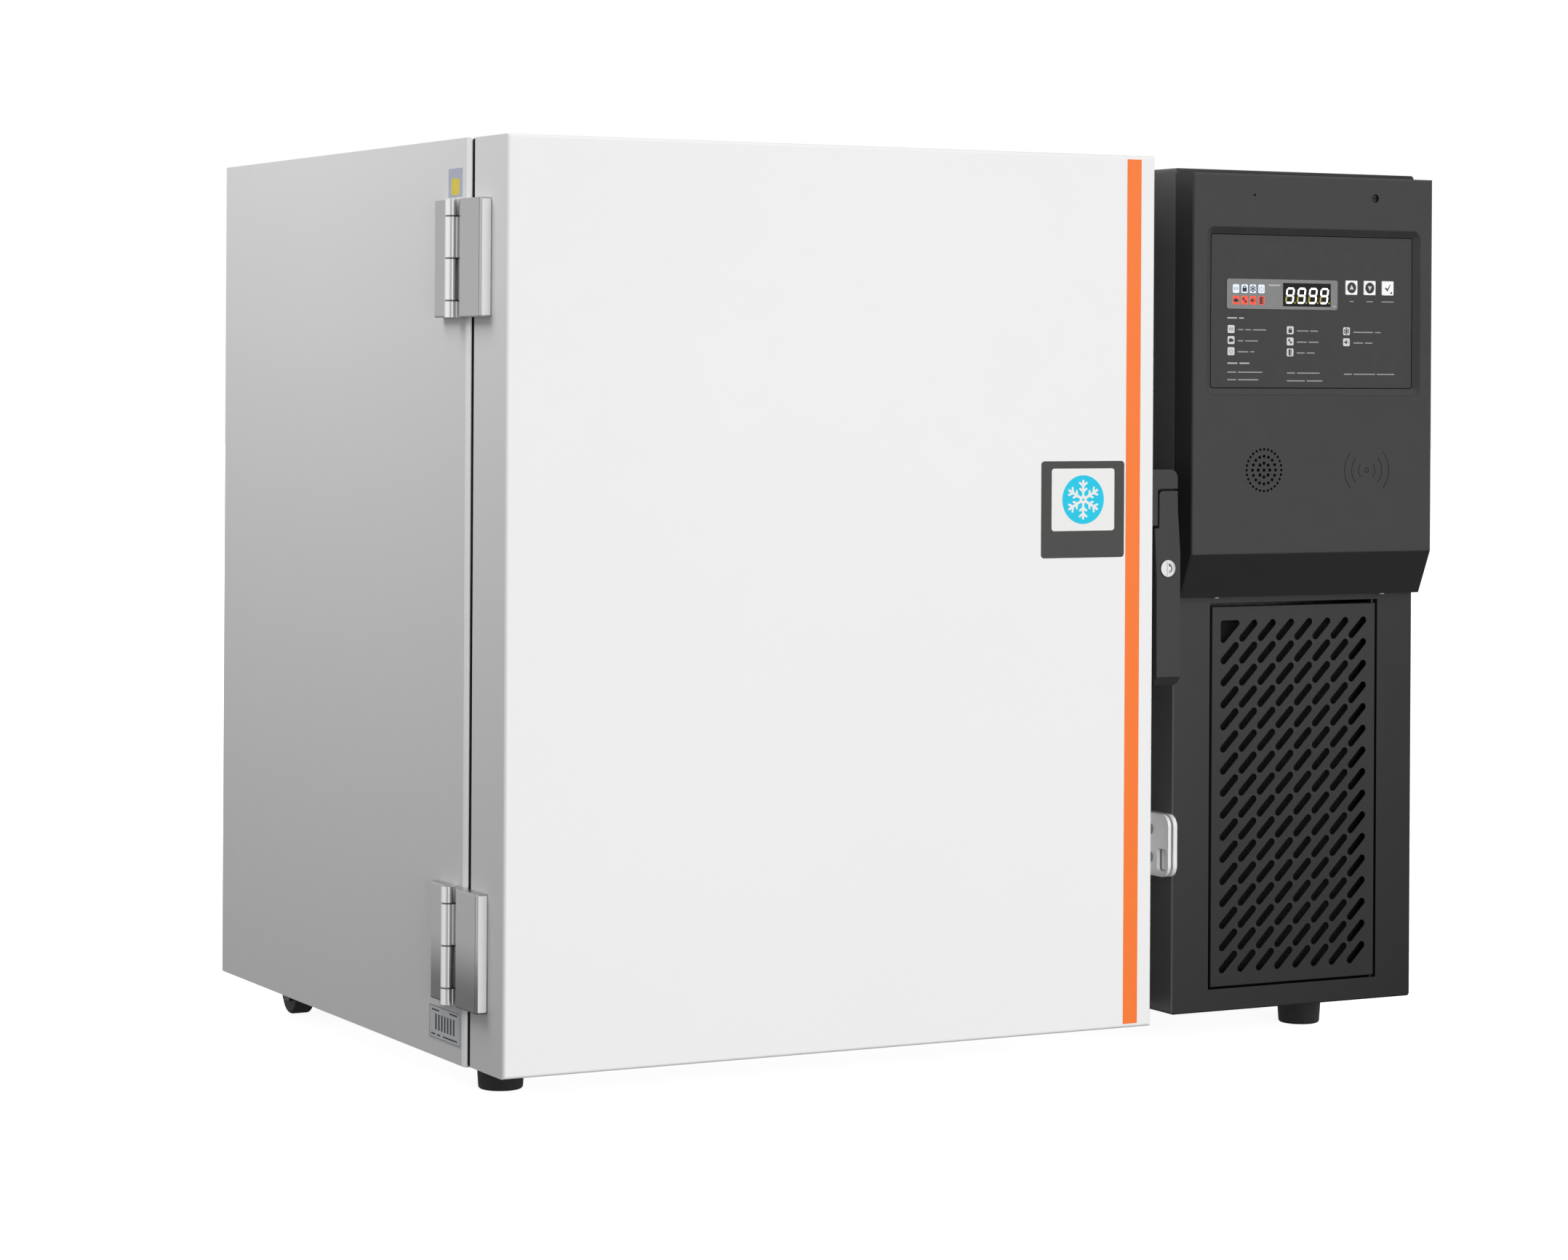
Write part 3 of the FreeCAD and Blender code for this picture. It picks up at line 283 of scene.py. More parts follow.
def hasp_material():
    """plated steel; one patch on the plate's left face, between Y 88.2 and 97.9 mm, is painted dark grey"""
    m = Mat("plated_hasp_steel", (0.76, 0.76, 0.765), rough=0.5, metal=0.15)
    wide = m.noise(55.0, 4.0, 0.6)
    fine = m.noise(1200.0, 3.0, 0.65)
    base = m.mix(m.span(wide, 0.3, 0.7, 0, 1), (0.74, 0.74, 0.745), (0.78, 0.78, 0.785))
    y0, y1, x1 = (88.2 - YC) / 1000, (97.9 - YC) / 1000, (687.2 - XC) / 1000
    y, x = m.axis("Y"), m.axis("X")
    # patch painted dark grey: left of X 687.2 mm, between Y 88.2 and 97.9 mm
    dark_patch_mask = m.math("MULTIPLY", m.span(y, y0, y0 + 0.0002, 0, 1), m.span(y, y1 - 0.0002, y1, 1, 0))
    dark_patch_mask = m.math("MULTIPLY", dark_patch_mask, m.span(x, x1 - 0.0002, x1, 1, 0))
    m.paint(m.mix(dark_patch_mask, base, (0.22, 0.22, 0.22)))
    m.rough(m.span(fine, 0.3, 0.7, 0.42, 0.55))
    m.bump(fine, 0.06, 0.00012)
    return m.m


def hinge_material():
    """brushed stainless: the barrels are painted much paler than the pads, a painted highlight, and the pads darken
    towards their lower ends, a painted shade
    """
    m = Mat("hinge_stainless_painted_light_and_shade", (0.6, 0.6, 0.6), rough=0.27, metal=1.0)
    line = m.noise(1.0, 3.0, 0.7, vec=m.coords(scale=(2200, 2200, 25)))
    y, z = m.axis("Y"), m.axis("Z")
    y0, y1 = (HINGE_Y - 6.6) / 1000, (HINGE_Y + 6.4) / 1000
    barrel = m.math("MULTIPLY", m.span(y, y0, y0 + 0.0003, 0, 1), m.span(y, y1, y1 + 0.0003, 1, 0))
    pads = m.mix(m.span(line, 0.3, 0.7, 0, 1), (0.535, 0.535, 0.54), (0.565, 0.565, 0.57))
    # painted shade: the pads' lower ends are painted near black
    pads = m.mix(m.span(z, 0.150, 0.098, 0, 0.8, smooth=True), pads, (0.10, 0.10, 0.102))
    # painted highlight: the barrels' pale colour
    bright = m.mix(m.span(line, 0.3, 0.7, 0, 1), (0.84, 0.84, 0.845), (0.88, 0.88, 0.885))
    m.paint(m.mix(barrel, pads, bright))
    m.rough(m.span(line, 0.3, 0.7, 0.26, 0.29))
    m.bump(line, 0.012, 0.0001)
    return m.m


def coat_with_painted_side_shade(name, painted_edge_highlight):
    """the white powder coat; on the left side a painted shade greys it a little towards the foot, and a painted
    highlight makes the cabinet's folded front edge paler
    """
    m = Mat(name, WHITE, rough=0.41, spec=0.5)
    base = m.mix(m.span(m.noise(3.0, 3.0, 0.55), 0.3, 0.7, 0, 1), tone(WHITE, 0.994), tone(WHITE, 1.006))
    x, y = m.axis("X"), m.axis("Y")
    left = m.span(x, -XC / 1000 + 0.0020, -XC / 1000 + 0.0026, 1, 0)
    # painted shade: the left side greys towards the foot
    foot = m.math("MULTIPLY", left, m.span(m.axis("Z"), 0.66, 0.03, 0, 1))
    base = m.mix(foot, base, tone(WHITE, 0.82))
    if painted_edge_highlight:
        # painted highlight: a pale strip along the cabinet's front edge on the left side
        y0 = (85.5 - YC) / 1000
        edge = m.math("MULTIPLY", m.span(y, y0 - 0.0004, y0 + 0.0004, 1, 0), left)
        base = m.mix(edge, base, (0.985, 0.985, 0.985))
    m.paint(base)
    m.rough(m.span(m.noise(40.0, 4.0, 0.6), 0.3, 0.7, 0.36, 0.46))
    n1 = m.bump(m.noise(260.0, 1.0, 0.4), 0.05, 0.0008)
    m.bump(m.noise(1500.0, 2.0, 0.6), 0.03, 0.0002, n1)
    return m.m


def cover_screw_material():
    """the two screws under the sloped edge are bright; the one near the top sits deep in its hole and is painted near
    black, a painted shade of the hole
    """
    m = Mat("cover_screw_steel_painted_shade", (0.5, 0.5, 0.5), rough=0.32, metal=1.0)
    fine = m.noise(1500.0, 3.0, 0.6)
    bright = m.mix(m.span(fine, 0.3, 0.7, 0, 1), (0.30, 0.30, 0.305), (0.36, 0.36, 0.365))
    # painted shade: above about Z 0.61 m the screw is painted near black
    m.paint(m.mix(m.span(m.axis("Z"), 0.60, 0.62, 0, 1), bright, (0.035, 0.035, 0.036)))
    m.rough(m.span(fine, 0.3, 0.7, 0.28, 0.4))
    m.bump(fine, 0.05, 0.0001)
    return m.m


def shaded_black(name, grain, grain_s, corners, painted_reflection_tone, r, spec, peel=0.0, painted_shade_below=None):
    """black coat with painted light and shade: a painted reflection makes it palest on the face that looks at the cold
    cabinet, and painted shade sets the tone at the corners; corners: tone at left top, right top, left foot, right foot
    """
    m = Mat(name, (0.02, 0.02, 0.02), rough=sum(r) / 2, spec=spec)
    fine = m.noise(grain, 2.0, 0.6)
    x, z = m.axis("X"), m.axis("Z")
    x0, x1 = (697.0 - XC) / 1000, (965.2 - XC) / 1000
    lt, rt, lf, rf = [(c, c, c * 1.015) for c in corners]
    # painted light and shade: the tone runs between the corners' values across X and down Z
    across = m.span(x, x0, x1, 0, 1)
    base = m.mix(m.span(z, 0.40, 0.03, 0, 1), m.mix(across, lt, rt), m.mix(across, lf, rf))
    # painted shade: darker below this height
    if painted_shade_below:
        base = m.mix(m.span(z, painted_shade_below / 1000, (painted_shade_below + 1.0) / 1000, 1, 0), base, (0.0085, 0.0085, 0.0087))
    base = m.mix(m.span(m.noise(3.0, 3.0, 0.55), 0.3, 0.7, 0, 0.18), base, (0.013, 0.013, 0.013))
    base = m.mix(m.span(fine, 0.35, 0.75, 0, 0.15), base, (0.034, 0.034, 0.0345))
    # painted reflection: the face that looks at the cabinet is painted paler
    inner = m.span(x, x0 + 0.0003, x0 + 0.0016, 1, 0)
    m.paint(m.mix(inner, base, m.mix(m.span(fine, 0.3, 0.7, 0, 1), tone(painted_reflection_tone, 0.92), tone(painted_reflection_tone, 1.08))))
    m.rough(m.span(m.noise(40.0, 4.0, 0.6), 0.3, 0.7, *r))
    n1 = m.bump(m.noise(420.0, 1.0, 0.4), peel, 0.0008) if peel else None
    m.bump(fine, grain_s, 0.0002, n1)
    return m.m


m_zinc = hasp_material()
HINGE_Y = 95.0 - YC
m_hinge = hinge_material()
m_cabinet = coat_with_painted_side_shade("white_powder_coat_painted_shade_cabinet", True)
m_door_coat = coat_with_painted_side_shade("white_powder_coat_painted_shade_door", False)
m_cover_screw = cover_screw_material()
m_compart = shaded_black("black_coat_painted_shade_compartment", 1700.0, 0.16, (0.034, 0.016, 0.013, 0.001), (0.100, 0.100, 0.101),
                         (0.31, 0.39), 0.32, 0.07)
m_grille = shaded_black("black_coat_painted_shade_grille", 1700.0, 0.16, (0.030, 0.023, 0.012, 0.006), (0.030, 0.030, 0.030), (0.31, 0.39), 0.32, 0.07)
m_house = shaded_black("black_moulded_painted_shade_housing", 1800.0, 0.12, (0.0250, 0.0215, 0.02, 0.015), (0.034, 0.034, 0.0345), (0.36, 0.44),
                       0.48, 0.0, 454.4)
m_dark_screw = satin_metal("dark_screw_steel", (0.20, 0.20, 0.205), r=(0.35, 0.5), metal=0.8)
m_rubber = moulded("black_rubber", (0.0095, 0.0095, 0.0095), r=(0.55, 0.7), grain=1300.0, grain_s=0.2, spread=0.2, speck=0.35)
m_gasket = moulded("grey_gasket_rubber", (0.060, 0.060, 0.063), r=(0.5, 0.62), grain=1500.0, grain_s=0.08, speck=0.05)
m_door_in = moulded("white_moulded_plastic", (0.76, 0.765, 0.77), r=(0.35, 0.46), grain=900.0, grain_s=0.05, spread=0.015, speck=0.02)
m_plastic = moulded("black_plastic", (0.016, 0.016, 0.0165), r=(0.38, 0.5))
m_key = moulded("key_plastic", (0.90, 0.905, 0.905), r=(0.38, 0.46), grain=2600.0, grain_s=0.05, speck=0.02, spread=0.02)
m_comp = powder("black_enamel", (0.010, 0.010, 0.0105), peel=120.0, grain=900.0, r=(0.16, 0.28), peel_s=0.1, grain_s=0.02)
m_copper = satin_metal("copper_tube", (0.74, 0.36, 0.20), r=(0.22, 0.42), grain=300.0, s=0.05, spread=0.16)


def foam_material():
    m = Mat("cream_foam", (0.80, 0.70, 0.46), rough=0.8, spec=0.2)
    cells = m.voronoi(420.0)
    big = m.noise(18.0, 4.0, 0.6)
    base = m.mix(m.span(big, 0.3, 0.7, 0, 1), (0.74, 0.63, 0.40), (0.84, 0.75, 0.52))
    m.paint(m.mix(m.span(cells, 0.2, 0.9, 0, 0.35), base, (0.62, 0.52, 0.32)))
    m.bump(cells, 0.5, 0.0008)
    return m.m


def board_material():
    m = Mat("green_circuit_board", (0.02, 0.16, 0.06), rough=0.35)
    v = m.voronoi(150.0, "DISTANCE_TO_EDGE")
    line = m.span(v, 0.03, 0.06, 1, 0, True)
    base = m.mix(m.span(m.noise(60.0, 2.0), 0.35, 0.7, 0, 1), (0.012, 0.12, 0.045), (0.02, 0.17, 0.07))
    m.paint(m.mix(line, base, (0.08, 0.30, 0.12)))
    m.rough(m.span(m.noise(400.0), 0.3, 0.7, 0.28, 0.42))
    m.bump(line, 0.3, 0.0001)
    return m.m


def fin_material():
    m = Mat("condenser_fins", (0.55, 0.56, 0.57), rough=0.4, metal=1.0)
    fins = m.bands(0.0021, "X")
    dirt = m.noise(25.0, 4.0, 0.6)
    # painted shade: the gaps between the fins are painted near black; the dirt patches are the fins' own
    base = m.mix(m.span(fins, 0.1, 0.9, 0, 1), (0.06, 0.06, 0.062), (0.68, 0.69, 0.70))
    m.paint(m.mix(m.span(dirt, 0.45, 0.8, 0, 0.35), base, (0.22, 0.21, 0.19)))
    m.rough(m.span(dirt, 0.3, 0.7, 0.32, 0.5))
    m.bump(fins, 1.0, 0.0009)
    return m.m


def mesh_material():
    """filter: a woven mesh of black thread over dark foam"""
    m = Mat("filter_mesh", (0.004, 0.004, 0.004), rough=0.6, spec=0.2)
    a = m.bands(0.0015, "X")
    b = m.bands(0.0015, "Z")
    thread = m.math("MAXIMUM", a, b)
    weave = m.span(thread, 0.55, 0.9, 0, 1, True)
    dust = m.noise(60.0, 4.0, 0.6)
    m.paint(m.mix(weave, (0.0008, 0.0008, 0.0008), (0.014, 0.014, 0.014)))
    m.rough(m.span(dust, 0.3, 0.7, 0.5, 0.7))
    m.bump(weave, 0.8, 0.0004)
    return m.m


def copper_insulation():
    m = Mat("grey_insulation", (0.05, 0.05, 0.052), rough=0.75, spec=0.3)
    cells = m.voronoi(600.0)
    m.paint(m.mix(m.span(m.noise(40.0, 3.0), 0.3, 0.7, 0, 1), (0.035, 0.035, 0.037), (0.065, 0.065, 0.067)))
    m.rough(m.span(cells, 0.1, 0.8, 0.65, 0.85))
    m.bump(cells, 0.4, 0.0005)
    return m.m


m_foam = foam_material()
m_board = board_material()
m_fins = fin_material()
m_filter = mesh_material()
m_insul = copper_insulation()

m_orange = film("orange_film", (0.87, 0.180, 0.024), r=(0.36, 0.46), spread=0.012)
m_plate = film("dark_plate_film", (0.044, 0.043, 0.042), r=(0.42, 0.52), spread=0.03)
m_plate_white = film("white_plate_print", (0.78, 0.78, 0.77), r=(0.36, 0.46), spread=0.01)
m_cyan = film("cyan_print", (0.0, 0.52, 0.72), r=(0.36, 0.46), spread=0.03)
m_silver = satin_metal("silver_plate_film", (0.52, 0.535, 0.565), r=(0.42, 0.55), grain=1800.0, s=0.03, spread=0.03, metal=0.35)
m_bluish = film("pale_blue_film", (0.44, 0.48, 0.58), r=(0.32, 0.42), spread=0.02)
m_yellow = film("yellow_print", (0.80, 0.62, 0.03), r=(0.36, 0.46), spread=0.03)
m_ink = film("light_ink", (0.62, 0.62, 0.62), r=(0.45, 0.55), spread=0.06)
m_ink_dim = film("dim_ink", (0.27, 0.27, 0.27), r=(0.45, 0.55), spread=0.10)
m_ink_pale = film("pale_ink", (0.42, 0.42, 0.425), r=(0.45, 0.55), spread=0.08)
m_ink_dark = film("dark_ink", (0.022, 0.022, 0.024), r=(0.45, 0.55), spread=0.10)
m_engrave = film("engraved_groove", (0.0022, 0.0022, 0.0022), r=(0.6, 0.7), spread=0.12, spec=0.1)
# dark film for the wave mark's grooves: painted shade
m_wave = film("wave_groove_painted_shade", (0.0075, 0.0075, 0.0075), r=(0.55, 0.65), spread=0.12, spec=0.25)
m_glass = Mat("display_window", (0.004, 0.004, 0.004), rough=0.12, spec=0.18)
m_glass.paint(m_glass.mix(m_glass.span(m_glass.noise(80.0, 2.0), 0.3, 0.7, 0, 1), (0.0035, 0.0035, 0.0035), (0.0055, 0.0055, 0.0052)))
m_glass.rough(m_glass.span(m_glass.noise(300.0, 3.0), 0.3, 0.7, 0.10, 0.17))
m_glass = m_glass.m
m_lit_white = lit("lit_digit", (1.0, 1.0, 0.97), 1.1)
m_unlit = lit("unlit_segment", (0.36, 0.34, 0.05), 0.22, 0.2)
m_lamp_white = lit("white_lamp", (0.66, 0.74, 0.88), 0.25)
m_lamp_red = lit("red_lamp", (0.82, 0.075, 0.03), 0.22)
m_usb_tongue = moulded("usb_tongue", (0.62, 0.62, 0.60), r=(0.4, 0.5))


def dress(material, *names):
    for n in names:
        o = NODES[n]
        o.data.materials.clear()
        o.data.materials.append(material)


dress(m_cabinet, "cabinet_shell")
dress(m_door_coat, "door_skin")
dress(m_white, "cabinet_rear_panel")
dress(m_black, "machine_rear_panel", "bridge_cover", "base_frame", "wheel_brackets")
dress(m_grille, "intake_grille")
dress(m_compart, "machine_front_frame", "machine_wrap")
dress(m_house, "control_housing")
dress(m_latch, "latch_lever", "latch_base")
dress(m_panel, "control_panel")
dress(m_grey, "display_module")
dress(m_hinge, "hinge_cabinet_leaves", "hinge_door_leaves")
dress(m_dark_screw, "hinge_pins")
dress(m_steel, "latch_strike", "latch_pivot_pin")
dress(m_steel_in, "chamber_liner", "inner_door_brackets")
dress(m_shelf, "shelves", "shelf_supports")
dress(m_zinc, "hasp_door_arm", "hasp_machine_plate")
dress(m_zinc2, "fan_shroud", "fan_motor", "relay_box")
dress(m_chrome, "lock_cylinder")
dress(m_cover_screw, "housing_screws")
dress(m_rubber, "levelling_foot_left", "levelling_foot_right", "rear_wheel_left", "rear_wheel_right")
dress(m_gasket, "door_gasket", "breaker_frame")
dress(m_door_in, "door_inner_panel", "inner_door_upper", "inner_door_lower", "breaker_frame")
dress(m_foam, "cabinet_foam", "door_foam")
dress(m_engrave, "alarm_sounder")
dress(m_plastic, "power_inlet", "power_switch_body", "condenser_fan", "power_switch_rocker")
dress(m_key, "key_up", "key_down", "key_set")
dress(m_board, "control_board")
dress(m_fins, "condenser")
dress(m_filter, "air_filter")
dress(m_comp, "compressor_high_stage", "compressor_low_stage")
dress(m_copper, "evaporator_coil", "refrigerant_lines")
dress(m_insul, "cascade_exchanger")
dress(m_screw, "usb_socket")
dress(m_lamp_white, "status_lamps")


# ------------------------------------------------------------------ mesh helpers
def finish_mesh(name, bm, material, body, smooth_deg=35.0, bevel=0.0, seg=2):
    bmesh.ops.remove_doubles(bm, verts=bm.verts, dist=1e-7)
    bmesh.ops.recalc_face_normals(bm, faces=bm.faces)
    me = bpy.data.meshes.new(name)
    bm.to_mesh(me)
    bm.free()
    o = bpy.data.objects.new(name, me)
    bpy.context.scene.collection.objects.link(o)
    mats = material if isinstance(material, (list, tuple)) else [material]
    for m in mats:
        me.materials.append(m)
    for p in me.polygons:
        p.use_smooth = True
    me.set_sharp_from_angle(angle=math.radians(smooth_deg))
    if bevel:
        b = o.modifiers.new("edge", "BEVEL")
        b.width, b.segments, b.limit_method, b.angle_limit = bevel / 1000.0, seg, "ANGLE", math.radians(40)
        b.harden_normals = False
    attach(o, body)
    return o


def rrect(cx, cz, w, h, r, n=5):
    pts = []
    for sx, sz, a0 in ((1, 1, 0), (-1, 1, 90), (-1, -1, 180), (1, -1, 270)):
        for i in range(n + 1):
            a = math.radians(a0 + 90.0 * i / n)
            pts.append((cx + sx * (w / 2 - r) + r * math.cos(a), cz + sz * (h / 2 - r) + r * math.sin(a)))
    return pts


def disc(cx, cz, r, n=28):
    return [(cx + r * math.cos(2 * math.pi * i / n), cz + r * math.sin(2 * math.pi * i / n)) for i in range(n)]


def bar(p, q, width, round_ends=True, n=5):
    """outline of a straight stroke from p to q"""
    a = math.atan2(q[1] - p[1], q[0] - p[0])
    r = width / 2
    pts = []
    if round_ends:
        for c, a0 in ((q, a - math.pi / 2), (p, a + math.pi / 2)):
            for i in range(n + 1):
                t = a0 + math.pi * i / n
                pts.append((c[0] + r * math.cos(t), c[1] + r * math.sin(t)))
    else:
        nx, nz = -math.sin(a) * r, math.cos(a) * r
        pts = [(p[0] - nx, p[1] - nz), (q[0] - nx, q[1] - nz), (q[0] + nx, q[1] + nz), (p[0] + nx, p[1] + nz)]
    return pts


def arc(cx, cz, r, a0, a1, width, n=18):
    """outline of a curved stroke, angles in degrees from +u"""
    outer, inner = [], []
    for i in range(n + 1):
        t = math.radians(a0 + (a1 - a0) * i / n)
        outer.append((cx + (r + width / 2) * math.cos(t), cz + (r + width / 2) * math.sin(t)))
        inner.append((cx + (r - width / 2) * math.cos(t), cz + (r - width / 2) * math.sin(t)))
    return outer + inner[::-1]


class Flat:
    """thin closed prisms laid on one plane, gathered in one mesh; each shape may take its own material slot"""

    def __init__(self, place):
        self.place, self.bm = place, bmesh.new()

    def poly(self, pts, w0=0.0, w1=0.05, slot=0, chamfer=0.0):
        n = len(pts)
        cx, cz = sum(p[0] for p in pts) / n, sum(p[1] for p in pts) / n
        rings = [(w0, 0.0), (w1 - chamfer, 0.0), (w1, chamfer)] if chamfer else [(w0, 0.0), (w1, 0.0)]
        loops = []
        for w, c in rings:
            loop = []
            for u, v in pts:
                d = math.hypot(u - cx, v - cz)
                k = (d - c * 1.3) / d if c and d > 0 else 1.0
                loop.append(self.bm.verts.new(self.place(cx + (u - cx) * k, cz + (v - cz) * k, w)))
            loops.append(loop)
        faces = [self.bm.faces.new(loops[0][::-1]), self.bm.faces.new(loops[-1])]
        for a, b in zip(loops, loops[1:]):
            for i in range(n):
                j = (i + 1) % n
                faces.append(self.bm.faces.new((a[i], a[j], b[j], b[i])))
        for f in faces:
            f.material_index = slot
        return self

    def ring(self, cx, cz, r0, r1, w0=0.0, w1=0.05, slot=0, n=32):
        loops = []
        for r, w in ((r0, w0), (r1, w0), (r1, w1), (r0, w1)):
            loops.append([self.bm.verts.new(self.place(u, v, w)) for u, v in disc(cx, cz, r, n)])
        for k in range(4):
            a, b = loops[k], loops[(k + 1) % 4]
            for i in range(n):
                j = (i + 1) % n
                self.bm.faces.new((a[i], a[j], b[j], b[i])).material_index = slot
        return self

    def frame(self, outer, inner, w0=0.0, w1=0.05, slot=0):
        """band between two outlines with the same number of points"""
        n = len(outer)
        loops = []
        for pts, w in ((inner, w0), (outer, w0), (outer, w1), (inner, w1)):
            loops.append([self.bm.verts.new(self.place(u, v, w)) for u, v in pts])
        for k in range(4):
            a, b = loops[k], loops[(k + 1) % 4]
            for i in range(n):
                j = (i + 1) % n
                self.bm.faces.new((a[i], a[j], b[j], b[i])).material_index = slot
        return self

    def done(self, name, material, body, **kw):
        return finish_mesh(name, self.bm, material, body, **kw)


# ------------------------------------------------------------------ door: stripe and plate
f = Flat(on_front(0.0))
f.poly(rrect(605.9, 425.15, 14.8, 767.1, 0.4, 3), 0.0, 0.18, chamfer=0.06)
f.done("door_stripe", m_orange, "main_door")

f = Flat(on_front(0.0))
f.poly(rrect(553.9, 498.6, 85.8, 85.2, 3.2, 6), 0.0, 0.30, chamfer=0.10)
f.done("door_plate", m_plate, "main_door")
f = Flat(on_front(0.0))
f.poly(rrect(554.0, 507.2, 64.8, 54.9, 2.6, 6), 0.25, 0.36)
f.done("door_plate_field", m_plate_white, "main_door")

# a plain snow crystal on a coloured disc
f = Flat(on_front(0.0))
f.poly(disc(554.0, 507.2, 21.5, 72), 0.33, 0.42, slot=0)
for k in range(6):
    a = math.radians(90 + 60 * k)
    c, s = math.cos(a), math.sin(a)
    f.poly(bar((554 + 2.2 * c, 507.2 + 2.2 * s), (554 + 16.5 * c, 507.2 + 16.5 * s), 2.3), 0.40, 0.476 + 0.006 * k, slot=1)
    for r, b in ((7.0, 4.2), (12.0, 4.6)):
        for t in (-1, 1):
            a2 = a + t * math.radians(52)
            p = (554 + r * c, 507.2 + r * s)
            f.poly(bar(p, (p[0] + b * math.cos(a2), p[1] + b * math.sin(a2)), 1.9), 0.40, 0.452 + 0.012 * (t > 0), slot=1)
f.ring(554.0, 507.2, 1.2, 3.6, 0.40, 0.53, slot=1)
f.done("door_plate_motif", [m_cyan, m_plate_white], "main_door")

# ------------------------------------------------------------------ left side: two blank plates
f = Flat(on_left(0.0))
f.poly(rrect(121.5, 65.0, 69.0, 30.0, 2.2, 5), 0.0, 0.22, chamfer=0.06)
f.frame(rrect(121.5, 65.0, 66.4, 27.4, 1.6, 5), rrect(121.5, 65.0, 65.4, 26.4, 1.3, 5), 0.2, 0.25, slot=1)
for k in range(7):
    f.poly(rrect(102.3 + 6.4 * k, 65.4, 3.4, 13.6, 0.1, 2), 0.2, 0.25, slot=1)
for u0, u1, v in ((95.0, 112.0, 76.0), (134.0, 150.0, 75.2), (95.0, 126.0, 54.6), (131.0, 138.0, 54.6), (142.0, 151.0, 54.6)):
    f.poly(rrect((u0 + u1) / 2, v, u1 - u0, 1.5, 0.6, 3), 0.2, 0.25, slot=1)
f.done("side_plate_lower", [m_silver, m_ink_dark], "cabinet")
f = Flat(on_left(0.0))
f.poly(rrect(109.0, 775.8, 30.0, 24.4, 0.8, 4), 0.0, 0.15, chamfer=0.05)
f.poly(rrect(109.0, 772.6, 17.0, 14.0, 3.0, 5), 0.13, 0.19, slot=1)
f.done("side_plate_upper", [m_bluish, m_yellow], "cabinet")

# ------------------------------------------------------------------ hinge pads: pale film on the front edge, a painted highlight
f = Flat(on_front(32.5))
for z0, z1 in ((662.3, 761.2), (87.3, 186.2)):
    f.poly(rrect(-4.6, (z0 + z1) / 2, 7.6, z1 - z0 - 2.6, 0.8, 4), 0.0, 0.12, chamfer=0.05)
f.done("hinge_pad_painted_highlights", m_painted_highlight, "main_door")

# ------------------------------------------------------------------ cabinet: dark rubber frame behind the door's edge, a painted shade of the deep gap
f = Flat(on_front(76.0))
f.frame(rrect(314.0, 424.4, 625.4, 774.4, 2.0, 4), rrect(314.0, 424.4, 611.0, 760.0, 2.0, 4), 0.0, 0.7)
f.done("cabinet_edge_painted_shade", m_rubber, "cabinet")

# ------------------------------------------------------------------ display digits and lamps
PY = 46.7
f = Flat(on_front(PY - 0.3))
f.poly(rrect(824.6, 692.1, 53.3, 21.5, 0.6, 3), 0.0, 0.04)
f.done("display_glass", m_glass, "cabinet")


def segments(x0, z0, w, h, s, slant):
    """seven outlines of one digit: a, b, c, d, e, f, g"""
    g = 0.25

    def sl(u, v):
        return (x0 + u + (v - h / 2) * slant, z0 + v)

    mid = h / 2
    hor = lambda v: [sl(s * 0.55 + g, v), sl(s + g, v + s / 2), sl(w - s - g, v + s / 2), sl(w - s * 0.55 - g, v),
                     sl(w - s - g, v - s / 2), sl(s + g, v - s / 2)]
    ver = lambda u, a, b: [sl(u, a), sl(u + s / 2, a + s / 2), sl(u + s / 2, b - s / 2), sl(u, b), sl(u - s / 2, b - s / 2),
                           sl(u - s / 2, a + s / 2)]
    lo, hi = s / 2 + g, h - s / 2 - g
    return [hor(h - s / 2), ver(w - s / 2, mid + g, hi), ver(w - s / 2, lo, mid - g), hor(s / 2), ver(s / 2, lo, mid - g),
            ver(s / 2, mid + g, hi), hor(mid)]


lit_f, dim_f = Flat(on_front(PY - 0.34)), Flat(on_front(PY - 0.34))
for k in range(4):
    x0 = 801.2 + 12.75 * k
    for i, pts in enumerate(segments(x0, 683.9, 9.3, 14.9, 1.75, 0.12)):
        if i == 4:
            dim_f.poly(pts, 0.0, 0.04)
        else:
            lit_f.poly(pts, 0.0, 0.06)
    dim_f.poly(disc(x0 + 10.1, 684.8, 0.8, 14), 0.0, 0.04)
lit_f.done("display_digits", m_lit_white, "cabinet")
dim_f.done("display_unlit_segments", m_unlit, "cabinet")

# joint line round the flat of the sunk panel
f = Flat(on_front(PY))
f.frame(rrect(831.45, 676.4, 226.2, 141.5, 2.9, 6), rrect(831.45, 676.4, 224.4, 139.7, 2.2, 6), 0.0, 0.03)
f.done("panel_joint_line", m_engrave, "cabinet")

# plain marks on the grey frame, beside and below the window
f = Flat(on_front(PY - 0.6))
f.poly(rrect(788.4, 700.6, 13.0, 1.5, 0.6, 3), 0.0, 0.04)
f.poly(rrect(855.3, 682.0, 3.2, 1.2, 0.5, 3), 0.0, 0.04)
f.done("display_marks", m_ink_pale, "cabinet")

LX = (745.8, 755.2, 764.4, 773.8)
LZW, LZR = 697.0, 686.4
f = Flat(on_front(PY - 0.84))
for x in LX:
    f.poly(rrect(x, LZR, 7.0, 8.0, 1.3, 4), 0.0, 0.05, chamfer=0.02)
f.done("lamp_red_lenses", m_lamp_red, "cabinet")


